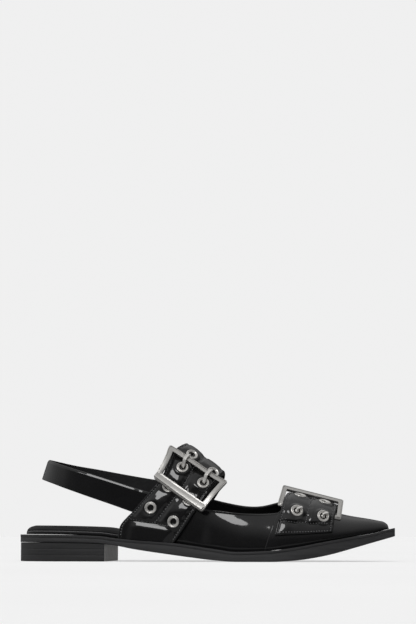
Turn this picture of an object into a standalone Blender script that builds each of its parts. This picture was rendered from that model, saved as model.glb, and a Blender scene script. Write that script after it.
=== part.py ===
"""Pointed-toe slingback flat with two buckled straps, a right shoe, as separate closed solids.

+X runs to the toe, -Y is the outer side of the foot and +Z is up. Tables and sizes are in
millimetres; the loft and placing functions turn them into metres. Every soft piece is cut from
one form, the last: a place on it is a length x and a turn that runs from 0 at the outer edge of
the sole, over the ridge at half of pi, to pi at the inner edge.
"""
import math
from collections import namedtuple

import bmesh
import bpy
import numpy as np
from mathutils import Matrix, Vector

OBJECT_NAME = "slingback_flat"
MM = 0.001
GAP = 0.3

# Plan and side view of the sole: half widths from the centre line, and the two heights
SoleRow = namedtuple("SoleRow", "x outer inner top bottom")
SOLE = [
    SoleRow(-137.5, 30.0, 30.8, 19.4, 13.9),
    SoleRow(-104.5, 30.4, 31.2, 19.1, 13.6),
    SoleRow(-88.0, 30.9, 31.0, 18.7, 13.3),
    SoleRow(-74.0, 31.1, 30.2, 18.1, 12.8),
    SoleRow(-61.0, 31.3, 29.8, 16.4, 11.2),
    SoleRow(-50.0, 31.7, 29.6, 15.5, 9.1),
    SoleRow(-22.0, 33.5, 30.4, 13.4, 5.0),
    SoleRow(-9.0, 35.6, 32.2, 11.8, 3.3),
    SoleRow(10.0, 39.0, 36.2, 9.0, 1.1),
    SoleRow(27.0, 41.6, 40.0, 7.0, 0.0),
    SoleRow(50.0, 42.9, 42.9, 7.7, 0.0),
    SoleRow(62.0, 41.6, 42.2, 9.2, 0.5),
    SoleRow(74.0, 38.8, 40.3, 11.1, 1.6),
    SoleRow(86.0, 34.8, 36.7, 13.5, 3.8),
    SoleRow(108.0, 23.8, 26.4, 17.6, 9.7),
    SoleRow(122.0, 14.3, 18.2, 20.1, 13.7),
    SoleRow(132.0, 7.8, 12.8, 22.8, 16.5),
    SoleRow(137.5, 4.4, 9.9, 24.0, 18.1),
]
FLAT_FROM, FLAT_TO = (row.x for row in SOLE if row.bottom == 0.0)
HEEL_BACK_X = SOLE[0].x
TOE_X = SOLE[-1].x
HEEL_RADIUS = 33.0
HEEL_BACK_FLAT = 3.0
NARROWEST = 0.2
TOE_CORNER = 2.5
TOE_CORNER_SHARE = 0.22
WELT_THICKNESS = 2.0
WELT_GROOVE = 0.5
SOLE_EDGE = 0.8

# Height of the ridge, its place across, and how full each section of the last is
LastRow = namedtuple("LastRow", "x ridge middle fullness")
LAST = [
    LastRow(-66.0, 120.0, 0.6, 2.10),
    LastRow(-40.0, 100.9, 0.6, 2.10),
    LastRow(-13.8, 81.8, 0.6, 2.15),
    LastRow(12.4, 62.4, 0.8, 2.20),
    LastRow(34.0, 52.2, 1.2, 2.20),
    LastRow(57.0, 47.0, 1.6, 2.20),
    LastRow(76.0, 41.2, 2.0, 2.20),
    LastRow(90.0, 36.6, 2.2, 2.20),
    LastRow(100.0, 33.2, 2.4, 2.20),
    LastRow(121.0, 29.5, 2.7, 2.20),
    LastRow(129.0, 28.0, 2.8, 2.20),
    LastRow(135.0, 27.2, 2.8, 2.20),
]
FEATHER = 4.8
TIP_ROUND = 5.5
LAST_TIP = TOE_X - FEATHER

# Opening of the upper from the back to the middle of the throat: heights up the last on both sides
TopRow = namedtuple("TopRow", "share x outer inner")
TOPLINE = [
    TopRow(0.00, -8.0, 0.42, 0.55),
    TopRow(0.17, 5.0, 0.48, 0.61),
    TopRow(0.38, 20.0, 0.55, 0.67),
    TopRow(0.60, 37.0, 0.612, 0.75),
    TopRow(0.76, 48.0, 0.65, 0.84),
    TopRow(0.87, 56.5, 0.70, 0.93),
    TopRow(0.95, 60.5, 0.85, 0.98),
    TopRow(1.00, 61.5, 1.00, 1.00),
]
QUARTER_BACK_X = -42.0
SEAM_X = 46.5
SEAM_SHARE = 0.87
SEAM_RAMP = 0.4
TIP_SHARE = 0.985
WALL = 1.6
VAMP_LIFT = 0.8
QUARTER_COLUMNS = 12
VAMP_COLUMNS = 14
TIP_COLUMNS = 4
ROWS_UP = 12
ROWS_CROWD = 1.7

# Back and front edges of each strap against the height up the last
EdgeRow = namedtuple("EdgeRow", "rise back front")
INSTEP_EDGES = [
    EdgeRow(0.00, -60.4, -19.3),
    EdgeRow(0.075, -59.3, -15.6),
    EdgeRow(0.22, -48.9, -9.6),
    EdgeRow(0.40, -37.8, -3.2),
    EdgeRow(0.55, -30.0, 2.0),
    EdgeRow(0.76, -24.2, 8.2),
    EdgeRow(1.00, -14.6, 13.6),
]
TOE_EDGES = [
    EdgeRow(0.00, 51.6, 94.0),
    EdgeRow(0.25, 53.8, 94.4),
    EdgeRow(0.70, 58.0, 95.6),
    EdgeRow(1.00, 60.6, 96.7),
]
COLUMN_SHARES = (0.0, 0.06, 0.10, 0.145, 0.26, 0.385, 0.44, 0.5)
COLUMN_EDGES = (0.06, 0.485)
COLUMN_RAMP = 0.085

# Padding, ends and bars of each strap; lifts are heights off the last
StrapSize = namedtuple("StrapSize", "start pad_start lift base pad rows bars squash")
INSTEP = StrapSize(0.0, 0.125, 0.4, 2.0, 1.7, 30, (0.50, 1.02), 0.6)
TOE = StrapSize(0.253, 0.49, 1.3, 1.6, 1.7, 26, (1.48,), 0.5)
PAD_END = 0.06
PAD_EDGE_SHARE = 0.55
SQUASH_WIDTH = 0.11

# Extra lift of the toe strap at its back and front edge, where it passes over its buckle
RiseRow = namedtuple("RiseRow", "turn back front")
TOE_RISE = [
    RiseRow(0.25, 0.0, 0.0),
    RiseRow(0.62, 0.2, 0.2),
    RiseRow(0.78, 1.5, 1.5),
    RiseRow(1.05, 1.5, 1.6),
    RiseRow(1.27, 0.96, 2.14),
    RiseRow(1.50, 0.54, 2.92),
    RiseRow(1.75, 0.44, 2.32),
    RiseRow(2.15, 0.34, 0.66),
    RiseRow(2.50, 0.0, 0.0),
    RiseRow(2.90, 0.0, 0.0),
]

# Buckle frames: width of the bars and the sides, how far up the frame follows the last, and each corner
Corner = namedtuple("Corner", "turn share lift thick")
BuckleSize = namedtuple("BuckleSize", "bar side laid low_back low_front high_back high_front")
INSTEP_BUCKLE = BuckleSize(
    bar=4.7, side=3.8, laid=math.inf,
    low_back=Corner(0.565, -0.028, 6.1, 2.6), low_front=Corner(0.435, 1.128, 6.1, 2.6),
    high_back=Corner(1.020, 0.012, 5.9, 2.6), high_front=Corner(1.000, 1.185, 6.0, 2.6))
TOE_BUCKLE = BuckleSize(
    bar=4.2, side=3.6, laid=0.3,
    low_back=Corner(0.94, -0.062, 1.75, 1.2), low_front=Corner(0.88, 1.058, 1.75, 1.2),
    high_back=Corner(1.47, -0.062, 6.3, 2.4), high_front=Corner(1.47, 1.058, 9.0, 2.4))
BUCKLE_OUTER_CORNER = 1.6
BUCKLE_INNER_CORNER = 0.7
BUCKLE_CHAMFER = 0.5
BUCKLE_STRAIGHT = 6
BUCKLE_TURNS = 3

# Bar under the instep strap, and the prongs from their eyelets to their tips
BAR_TURN = 0.75
BAR_RADIUS = 1.1
BAR_DROP = -1.0
BAR_END_LIFT = 2.9
BAR_BACK = 0.052
BAR_FRONT = 0.10
BAR_TUCK = 0.8
PRONG_RADIUS = 1.15
WIRE_SIDES = 2
ProngRow = namedtuple("ProngRow", "share lift radius")
INSTEP_PRONG = [
    ProngRow(0.00, 6.4, 1.0),
    ProngRow(0.22, 7.4, 1.0),
    ProngRow(0.50, 8.4, 1.0),
    ProngRow(0.68, 8.6, 1.0),
    ProngRow(0.86, 8.4, 0.95),
    ProngRow(1.00, 7.6, 0.7),
]
TOE_PRONG = [
    ProngRow(0.00, 8.0, 0.8),
    ProngRow(0.35, 9.0, 0.8),
    ProngRow(0.80, 9.3, 0.75),
    ProngRow(1.00, 9.1, 0.5),
]

# Eyelets: turned ring, and the place of each pair and of each prong's tip
EYELET_PROFILE = [(2.3, 0.0), (2.3, 0.4), (3.3, 0.85), (4.3, 0.5), (4.4, 0.0)]
EYELET_STEPS = 12
Spot = namedtuple("Spot", "turn share")
PairRow = namedtuple("PairRow", "back front")
INSTEP_EYELETS = [
    PairRow(Spot(0.27, 0.25), Spot(0.195, 0.78)),
    PairRow(Spot(0.53, 0.25), Spot(0.475, 0.78)),
    PairRow(Spot(0.83, 0.32), Spot(0.785, 0.83)),
    PairRow(Spot(1.17, 0.335), Spot(1.13, 0.865)),
]
TOE_EYELETS = [
    PairRow(Spot(0.72, 0.305), Spot(0.675, 0.79)),
    PairRow(Spot(1.24, 0.28), Spot(1.245, 0.76)),
]
INSTEP_PRONG_PAIR = INSTEP_EYELETS[2]
TOE_PRONG_PAIR = TOE_EYELETS[0]
INSTEP_PRONG_END = PairRow(Spot(1.10, 0.335), Spot(1.09, 0.85))
TOE_PRONG_END = PairRow(Spot(0.76, 0.41), Spot(0.715, 0.895))

# Padded insole: thickness along it, and rows up its rounded edge as shares of inset and thickness
InsoleRow = namedtuple("InsoleRow", "x inset thick")
INSOLE = [
    InsoleRow(-132.9, 4.6, 2.2),
    InsoleRow(-131.0, 4.6, 4.0),
    InsoleRow(-128.0, 4.6, 5.5),
    InsoleRow(-123.0, 4.6, 6.4),
    InsoleRow(-75.0, 4.6, 6.4),
    InsoleRow(-60.0, 7.2, 6.2),
    InsoleRow(0.0, 7.2, 4.4),
    InsoleRow(60.0, 7.2, 3.0),
    InsoleRow(121.0, 7.2, 1.4),
]
INSOLE_EDGE = [(0.12, 0.0), (0.0, 0.18), (0.0, 0.42), (0.22, 0.72), (0.55, 0.92), (1.0, 1.0)]
INSOLE_ROUND = 1.1

# Heel block
HEEL_BREAST_X = -70.0
HEEL_INSET = 0.4
HEEL_LAYER = 4.5
HEEL_GROOVE = 0.45
HEEL_EDGE = 0.7

# Band round the heel, from the instep strap to the back: half widths and heights of both sides
SlingRow = namedtuple("SlingRow", "x outer inner outer_height inner_height width lean")
SLING = [
    SlingRow(-32.0, 22.2, 19.4, 38.8, 49.6, 18.0, 0.0),
    SlingRow(-46.0, 24.3, 21.6, 43.0, 51.8, 18.0, 0.0),
    SlingRow(-66.0, 25.6, 24.0, 49.6, 55.6, 17.4, 0.2),
    SlingRow(-86.0, 25.0, 24.4, 56.1, 59.6, 16.8, 0.8),
    SlingRow(-102.0, 21.6, 21.6, 61.3, 62.8, 15.8, 1.4),
    SlingRow(-111.8, 15.2, 15.2, 64.7, 65.2, 15.0, 1.9),
    SlingRow(-117.0, 8.0, 8.0, 66.4, 66.5, 14.6, 2.2),
    SlingRow(-118.8, 0.0, 0.0, 66.9, 66.9, 14.5, 2.3),
]
SLING_THICKNESS = 2.0
SLING_BEVEL = 0.4
SLING_STATIONS = 37

# Colour, roughness and metallic value of each kind of surface
PATENT = ((0.010, 0.010, 0.011), 0.12, 0.0)
SOLE_LOOK = ((0.026, 0.026, 0.027), 0.62, 0.0)
HEEL_LOOK = ((0.022, 0.022, 0.023), 0.55, 0.0)
INSOLE_LOOK = ((0.014, 0.014, 0.015), 0.40, 0.0)
METAL = ((0.50, 0.49, 0.46), 0.30, 1.0)


def through(rows, key, column, at):
    """Monotone cubic curve through one column of a table, read at the given places."""
    x = np.array([getattr(row, key) for row in rows])
    y = np.array([getattr(row, column) for row in rows])
    step = np.diff(x)
    rate = np.diff(y) / step
    slope = np.concatenate(([rate[0]], np.zeros(len(x) - 2), [rate[-1]]))
    bends = rate[:-1] * rate[1:] > 0.0
    before = 2.0 * step[1:] + step[:-1]
    after = step[1:] + 2.0 * step[:-1]
    left = np.where(bends, rate[:-1], 1.0)
    right = np.where(bends, rate[1:], 1.0)
    slope[1:-1] = np.where(bends, (before + after) / (before / left + after / right), 0.0)
    at = np.clip(np.asarray(at, float), x[0], x[-1])
    i = np.clip(np.searchsorted(x, at) - 1, 0, len(x) - 2)
    t = (at - x[i]) / step[i]
    rise = t * t * (3.0 - 2.0 * t)
    bow = t * (1.0 - t) * step[i]
    return y[i] + (y[i + 1] - y[i]) * rise + bow * ((1.0 - t) * slope[i] - t * slope[i + 1])


def ease(t):
    """Smooth step from 0 to 1."""
    t = np.clip(t, 0.0, 1.0)
    return t * t * (3.0 - 2.0 * t)


def sole_half(x, side, inset=0.0):
    """Half width of the sole's outline on one side, drawn in from the edge by an inset."""
    wide = through(SOLE, "x", side, x) - inset
    behind = (HEEL_BACK_X + HEEL_RADIUS - x) / (HEEL_RADIUS - inset)
    round_back = np.sqrt(np.clip(1.0 - np.clip(behind, 0.0, None) ** 2, 0.0, 1.0))
    ahead = np.clip((x - (TOE_X - TOE_CORNER)) / TOE_CORNER, 0.0, 1.0)
    return np.maximum(wide * round_back * (1.0 - TOE_CORNER_SHARE * ahead ** 2), HEEL_BACK_FLAT)


def last_point(x, turn, lift=0.0):
    """Point on the last, lifted off its surface; each section is a closed superellipse arch."""
    x, turn, lift = np.broadcast_arrays(*(np.asarray(v, float) for v in (x, turn, lift)))
    ridge = through(LAST, "x", "ridge", x)
    slope = (through(LAST, "x", "ridge", x + 1.0) - through(LAST, "x", "ridge", x - 1.0)) / 2.0
    foot = through(SOLE, "x", "top", x) + GAP
    middle = through(LAST, "x", "middle", x)
    power = through(LAST, "x", "fullness", x)
    rise = np.clip(np.sin(turn), 0.0, 1.0)
    spread = (1.0 - rise ** power) ** (1.0 / power)
    ahead = np.clip((x - (LAST_TIP + lift - TIP_ROUND)) / TIP_ROUND, 0.0, 1.0)
    height = (ridge + lift * np.sqrt(1.0 + slope ** 2) - foot) * np.sqrt(1.0 - ahead ** 2)
    outer = -middle - sole_half(x, "outer") + FEATHER - lift
    inner = sole_half(x, "inner") - FEATHER + lift - middle
    y = middle + spread * np.where(turn < math.pi / 2.0, outer, inner)
    return np.stack((x, y, foot + height * rise), axis=-1)


def add_object(name, data, look):
    """Object with a material of its own, in the collection of parts."""
    colour, roughness, metallic = look
    material = bpy.data.materials.new(name)
    material.use_nodes = True
    shader = material.node_tree.nodes["Principled BSDF"]
    shader.inputs["Base Color"].default_value = (*colour, 1.0)
    shader.inputs["Roughness"].default_value = roughness
    shader.inputs["Metallic"].default_value = metallic
    part = bpy.data.objects.new(name, data)
    part.data.materials.append(material)
    bpy.data.collections[OBJECT_NAME].objects.link(part)
    return part


def loft(name, rings, look, looped=False):
    """Closed solid through rings of points; strips across the first and last ring close the ends."""
    stations, count = rings.shape[:2]
    form = bmesh.new()
    points = [[form.verts.new(point) for point in ring] for ring in rings * MM]
    for i in range(stations if looped else stations - 1):
        here = points[i]
        ahead = points[(i + 1) % stations]
        for k in range(count):
            m = (k + 1) % count
            form.faces.new((here[k], here[m], ahead[m], ahead[k]))
    if not looped:
        for ring in (points[0], points[-1]):
            for k in range(count // 2 - 1):
                form.faces.new((ring[k], ring[k + 1], ring[count - 2 - k], ring[count - 1 - k]))
    bmesh.ops.recalc_face_normals(form, faces=form.faces)
    mesh = bpy.data.meshes.new(name)
    form.to_mesh(mesh)
    form.free()
    mesh.shade_smooth()
    mesh.set_sharp_from_angle(angle=math.radians(35.0))
    return add_object(name, mesh, look)


def outline_rings(x, inset, levels):
    """Rings of a piece that follows the sole: each level is a draw-in and a height at every x."""
    sides = []
    for side, sign, order in (("outer", -1.0, levels), ("inner", 1.0, reversed(levels))):
        half = sole_half(x, side, inset)
        for draw, height in order:
            sides.append(np.stack((x, sign * np.maximum(half - draw, NARROWEST * half), height), axis=-1))
    return np.stack(sides, axis=1)


def stations(start, end, round_count, straight_count, end_count=0):
    """Places along x, close together where the heel turns and at the toe."""
    bend = start + (HEEL_BACK_X + HEEL_RADIUS - start) * (
        1.0 - np.cos(np.linspace(0.0, math.pi / 2.0, round_count)))
    run = np.linspace(bend[-1], end - TOE_CORNER, straight_count)
    tip = np.linspace(end - TOE_CORNER, end, end_count + 2)
    return np.concatenate((bend, run[1:], tip[1:]))


def build_sole():
    """Outsole with a welt line, the stacked heel under it and the insole on it."""
    x = stations(HEEL_BACK_X, TOE_X, 9, 31, 1)
    for edge in (FLAT_FROM, FLAT_TO):
        x[np.argmin(abs(x - edge))] = edge
    top = through(SOLE, "x", "top", x)
    bottom = through(SOLE, "x", "bottom", x)
    loft("outsole", outline_rings(x, 0.0, [
        (SOLE_EDGE, bottom),
        (WELT_GROOVE, bottom + SOLE_EDGE),
        (WELT_GROOVE, top - WELT_THICKNESS),
        (0.0, top - WELT_THICKNESS + WELT_GROOVE),
        (0.0, top - WELT_GROOVE),
        (WELT_GROOVE, top),
    ]), SOLE_LOOK)

    x = stations(HEEL_BACK_X + HEEL_INSET, HEEL_BREAST_X, 9, 5)
    floor = np.zeros_like(x)
    levels = [(HEEL_EDGE, floor), (0.0, floor + HEEL_EDGE)]
    for layer in (1, 2):
        line = floor + HEEL_LAYER * layer
        levels += [(0.0, line - HEEL_GROOVE), (HEEL_GROOVE, line), (0.0, line + HEEL_GROOVE)]
    levels.append((0.0, through(SOLE, "x", "bottom", x) - GAP))
    loft("heel", outline_rings(x, HEEL_INSET, levels), HEEL_LOOK)

    back_inset = INSOLE[0].inset
    x = stations(INSOLE[0].x, INSOLE[-1].x, 9, 21)
    draw = through(INSOLE, "x", "inset", x) - back_inset
    thick = through(INSOLE, "x", "thick", x)
    bed = through(SOLE, "x", "top", x) + GAP
    loft("insole", outline_rings(x, back_inset, [
        (draw + INSOLE_ROUND * thick * reach, bed + thick * level) for reach, level in INSOLE_EDGE
    ]), INSOLE_LOOK)


def upper_sheet(lift, vamp_lift):
    """Grid of the upper's surface: columns round the toe from edge to edge, rows up to the opening."""
    quarter = np.linspace(0.0, 1.0, QUARTER_COLUMNS)
    vamp = np.linspace(0.0, 1.0, VAMP_COLUMNS)
    tip = np.linspace(0.0, 1.0, TIP_COLUMNS)[1:]
    end = LAST_TIP + vamp_lift
    foot_x = np.concatenate((
        QUARTER_BACK_X + (SEAM_X - SEAM_RAMP - QUARTER_BACK_X) * quarter,
        SEAM_X + SEAM_RAMP + (end - SEAM_X - SEAM_RAMP) * vamp,
        np.full(len(tip), end)))
    foot_turn = np.concatenate((0.0 * quarter, 0.0 * vamp, tip * math.pi / 2.0))
    share = np.concatenate((
        (SEAM_SHARE - 0.01) * quarter,
        SEAM_SHARE + (TIP_SHARE - SEAM_SHARE) * vamp,
        TIP_SHARE + (1.0 - TIP_SHARE) * tip))
    lifts = np.concatenate((0.0 * quarter + lift, 0.0 * vamp + vamp_lift, 0.0 * tip + vamp_lift))
    edge_x = through(TOPLINE, "share", "x", share)
    up = np.linspace(0.0, 1.0, ROWS_UP) ** ROWS_CROWD
    x = foot_x[:, None] + (edge_x - foot_x)[:, None] * up
    halves = []
    for side in ("outer", "inner"):
        edge_turn = np.arcsin(np.clip(through(TOPLINE, "share", side, share), 0.0, 1.0))
        turn = foot_turn[:, None] + (edge_turn - foot_turn)[:, None] * up
        halves.append(last_point(x, turn if side == "outer" else math.pi - turn, lifts[:, None]))
    return np.concatenate((halves[0], halves[1][-2::-1]))


def build_upper():
    """Hollow upper: the front vamp laps over the quarters, so the wall steps out at the seam."""
    outside = upper_sheet(0.0, VAMP_LIFT)
    inside = upper_sheet(-WALL, -WALL)
    loft("upper", np.concatenate((outside, inside[:, ::-1]), axis=1), PATENT)


def strap_x(edges, turn, share):
    """Place along x of a share of a strap's width, from its back edge to its front edge."""
    rise = np.sin(turn)
    back = through(edges, "rise", "back", rise)
    return back + (through(edges, "rise", "front", rise) - back) * share


def pad_height(size, turn, share):
    """Height of the padding: two quilted columns, none at the strap's ends, pressed at the bars."""
    middle = np.minimum(share, 1.0 - share)
    column = ease((middle - COLUMN_EDGES[0]) / COLUMN_RAMP) * ease((COLUMN_EDGES[1] - middle) / COLUMN_RAMP)
    ends = ease((np.sin(turn) - size.pad_start) / PAD_END)
    pressed = sum(np.exp(-((turn - bar) / SQUASH_WIDTH) ** 2) for bar in size.bars)
    quilted = PAD_EDGE_SHARE + (1.0 - PAD_EDGE_SHARE) * column
    return size.pad * quilted * ends * (1.0 - size.squash * pressed)


def strap_under(size, rises, turn, share):
    """Lift of a strap's underside."""
    if not rises:
        return size.lift + 0.0 * turn * share
    back = through(rises, "turn", "back", turn)
    return size.lift + back + (through(rises, "turn", "front", turn) - back) * share


def strap_top(size, rises, turn, share):
    """Lift of a strap's outer face."""
    return strap_under(size, rises, turn, share) + size.base + pad_height(size, turn, share)


def build_strap(name, edges, size, rises):
    """Padded strap laid over the last from side to side."""
    half = np.array(COLUMN_SHARES)
    share = np.concatenate((half, 1.0 - half[-2::-1]))[None, :]
    turn = np.linspace(size.start, math.pi - size.start, size.rows + 1)[:, None]
    x = strap_x(edges, turn, share)
    outside = last_point(x, turn, strap_top(size, rises, turn, share))
    inside = last_point(x, turn, strap_under(size, rises, turn, share))
    loft(name, np.concatenate((outside, inside[:, ::-1]), axis=1), PATENT)


def bar_section(wide, cut):
    """Flat bar with cut corners: place across, level as a share of half its height, and trim."""
    return [(-wide + cut, -1.0, 0.0), (-wide, -1.0, cut), (-wide, 1.0, -cut), (-wide + cut, 1.0, 0.0),
            (wide - cut, 1.0, 0.0), (wide, 1.0, -cut), (wide, -1.0, cut), (wide - cut, -1.0, 0.0)]


def build_sling():
    """Band round the back of the heel, its ends tucked under the instep strap."""
    rows = [(row.x, -row.outer, row.outer_height, row.width, row.lean) for row in SLING]
    rows += [(row.x, row.inner, row.inner_height, row.width, row.lean) for row in SLING[-2::-1]]
    knots = np.array(rows)
    step = np.linalg.norm(np.diff(knots[:, :3], axis=0), axis=1)
    at = np.concatenate(([0.0], np.cumsum(step)))
    slope = np.gradient(knots, at, axis=0)
    place = np.linspace(0.0, at[-1], SLING_STATIONS)
    i = np.clip(np.searchsorted(at, place) - 1, 0, len(at) - 2)
    t = ((place - at[i]) / step[i])[:, None]
    bow = t * (1.0 - t) * step[i][:, None]
    path = knots[i] + (knots[i + 1] - knots[i]) * t * t * (3.0 - 2.0 * t)
    path += bow * ((1.0 - t) * slope[i] - t * slope[i + 1])
    ahead = np.gradient(path[:, :2], axis=0)
    out = np.stack((-ahead[:, 1], ahead[:, 0]), axis=1)
    out /= np.linalg.norm(out, axis=1, keepdims=True)
    half = SLING_THICKNESS / 2.0
    rings = []
    for across, level, trim in bar_section(half, SLING_BEVEL):
        rise = level * path[:, 3] / 2.0 + trim
        inward = path[:, 4] * rise / path[:, 3] * 2.0
        flat = path[:, :2] + out * (across - inward)[:, None]
        rings.append(np.column_stack((flat, path[:, 2] + rise)))
    loft("sling_strap", np.stack(rings, axis=1), PATENT)


def frame_outline(size, reach, radius):
    """Shares of width and height round a rectangle that reaches past the given size on all sides."""
    signs = np.array(((1.0, -1.0), (1.0, 1.0), (-1.0, 1.0), (-1.0, -1.0)))
    centres = size / 2.0 + signs * (size / 2.0 + reach - radius)
    loop = []
    for n in range(4):
        bend = np.linspace(n - 1.0, n, BUCKLE_TURNS) * math.pi / 2.0
        round_off = radius * np.stack((np.cos(bend), np.sin(bend)), axis=1)
        arc = centres[n] + round_off
        goal = centres[(n + 1) % 4] + round_off[-1]
        side = np.linspace(0.0, 1.0, BUCKLE_STRAIGHT + 1)[1:-1, None]
        loop += [arc, arc[-1] + (goal - arc[-1]) * side]
    return np.concatenate(loop) / size


def build_buckle(name, edges, size):
    """Flat frame round its strap, between two rounded rectangles; a laid bar follows the last."""
    spots = np.array((size.low_back, size.low_front, size.high_back, size.high_front))
    turns, shares, lifts, _ = spots.T
    places = last_point(strap_x(edges, turns, shares), turns, lifts)
    along, above = places[1] - places[0], places[2] - places[0]
    up = np.cross(along, above)
    up /= np.linalg.norm(up)
    spread = np.array((np.linalg.norm(along), np.linalg.norm(above)))
    half = np.array((size.side, size.bar)) / 2.0
    outer = frame_outline(spread, half, BUCKLE_OUTER_CORNER)
    inner = frame_outline(spread, -half, BUCKLE_INNER_CORNER)
    rings = []
    for across, level, trim in bar_section(size.bar / 2.0, BUCKLE_CHAMFER):
        over, rise = (outer + (inner - outer) * (0.5 - across / size.bar)).T[:, :, None]
        low, high = 1.0 - rise, rise
        mixes = np.concatenate(((1.0 - over) * low, over * low, (1.0 - over) * high, over * high), axis=1)
        path = mixes @ places
        turn, share, lift, thick = (mixes @ spots).T
        if size.laid:
            on_last = last_point(strap_x(edges, turn, share), turn, lift)
            path = path + (on_last - path) * (1.0 - ease(rise / size.laid))
        rings.append(path + up * (thick / 2.0 * level + trim)[:, None])
    loft(name, np.stack(rings, axis=1), METAL, looped=True)


def wire(name, points, radii, depth, look):
    """Round bar along points in millimetres, with closed ends."""
    curve = bpy.data.curves.new(name, "CURVE")
    curve.dimensions = "3D"
    curve.bevel_depth = depth * MM
    curve.bevel_resolution = WIRE_SIDES
    curve.use_fill_caps = True
    spline = curve.splines.new("POLY")
    spline.points.add(len(points) - 1)
    for knot, point, radius in zip(spline.points, points, radii):
        knot.co = (*(point * MM), 1.0)
        knot.radius = radius
    return add_object(name, curve, look)


def build_prongs():
    """Prongs of both buckles and the bar under the instep strap that carries two of them."""
    for strap, edges, rows, pair, ends in (
            ("instep", INSTEP_EDGES, INSTEP_PRONG, INSTEP_PRONG_PAIR, INSTEP_PRONG_END),
            ("toe", TOE_EDGES, TOE_PRONG, TOE_PRONG_PAIR, TOE_PRONG_END)):
        step = np.array([row.share for row in rows])
        lift = np.array([row.lift for row in rows])
        for side, start, end in zip(pair._fields, pair, ends):
            turn = start.turn + (end.turn - start.turn) * step
            share = start.share + (end.share - start.share) * step
            points = last_point(strap_x(edges, turn, share), turn, lift)
            wire(f"{strap}_prong_{side}", points, [row.radius for row in rows], PRONG_RADIUS, METAL)
    share = np.concatenate(([-BAR_BACK, -BAR_BACK, -BAR_TUCK * BAR_BACK], np.linspace(0.0, 1.0, 7),
                            [1.0 + BAR_TUCK * BAR_FRONT, 1.0 + BAR_FRONT, 1.0 + BAR_FRONT]))
    rise = np.array((BAR_END_LIFT, 0.4 * BAR_END_LIFT, 0.4 * BAR_DROP))
    lift = np.concatenate((rise, np.full(7, BAR_DROP), rise[::-1]))
    turn = np.full(len(share), BAR_TURN)
    points = last_point(strap_x(INSTEP_EDGES, turn, share), turn, lift)
    wire("instep_buckle_bar", points, np.ones(len(points)), BAR_RADIUS, METAL)


def eyelet_seat(edges, size, rises, turn, share):
    """Place and axes of an eyelet that rests on the highest point of the strap under its rim."""
    def face(at_turn, at_share):
        x = strap_x(edges, at_turn, at_share)
        return last_point(x, at_turn, strap_top(size, rises, at_turn, at_share))

    nudge = 0.02
    centre = face(turn, share)
    across = (face(turn, share + nudge) - face(turn, share - nudge)) / (2.0 * nudge)
    along = (face(turn + nudge, share) - face(turn - nudge, share)) / (2.0 * nudge)
    up = np.cross(across, along)
    up /= np.linalg.norm(up)
    angle = np.linspace(0.0, 2.0 * math.pi, EYELET_STEPS)
    radius = EYELET_PROFILE[-1][0]
    rim = face(turn + radius * np.sin(angle) / np.linalg.norm(along),
               share + radius * np.cos(angle) / np.linalg.norm(across))
    centre = centre + up * (max(0.0, np.max((rim - centre) @ up)) + GAP)
    x_axis = Vector(across).normalized()
    y_axis = Vector(up).cross(x_axis)
    turned = Matrix((x_axis, y_axis, Vector(up))).transposed().to_4x4()
    return Matrix.Translation(Vector(centre * MM)) @ turned


def build_eyelets():
    """Pairs of turned rings along both straps, each on its own object."""
    profile = bpy.data.meshes.new("eyelet_profile")
    count = len(EYELET_PROFILE)
    profile.from_pydata([(r * MM, 0.0, h * MM) for r, h in EYELET_PROFILE],
                        [(k, (k + 1) % count) for k in range(count)], [])
    for strap, edges, size, rises, turns in (("instep", INSTEP_EDGES, INSTEP, (), INSTEP_EYELETS),
                                             ("toe", TOE_EDGES, TOE, TOE_RISE, TOE_EYELETS)):
        for n, pair in enumerate(turns, start=1):
            for side, spot in zip(pair._fields, pair):
                ring = add_object(f"{strap}_eyelet_{side}_{n}", profile.copy(), METAL)
                ring.matrix_world = eyelet_seat(edges, size, rises, *spot)
                turned = ring.modifiers.new("turned", "SCREW")
                turned.steps = EYELET_STEPS
                turned.render_steps = EYELET_STEPS
                turned.use_merge_vertices = True
                turned.merge_threshold = 0.00001
    bpy.data.meshes.remove(profile)


def main():
    for old in list(bpy.data.objects):
        bpy.data.objects.remove(old, do_unlink=True)
    bpy.context.scene.collection.children.link(bpy.data.collections.new(OBJECT_NAME))
    build_sole()
    build_upper()
    build_strap("instep_strap", INSTEP_EDGES, INSTEP, ())
    build_strap("toe_strap", TOE_EDGES, TOE, TOE_RISE)
    build_sling()
    build_buckle("instep_buckle", INSTEP_EDGES, INSTEP_BUCKLE)
    build_buckle("toe_buckle", TOE_EDGES, TOE_BUCKLE)
    build_prongs()
    build_eyelets()


main()
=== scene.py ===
import math
from collections import namedtuple

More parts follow.
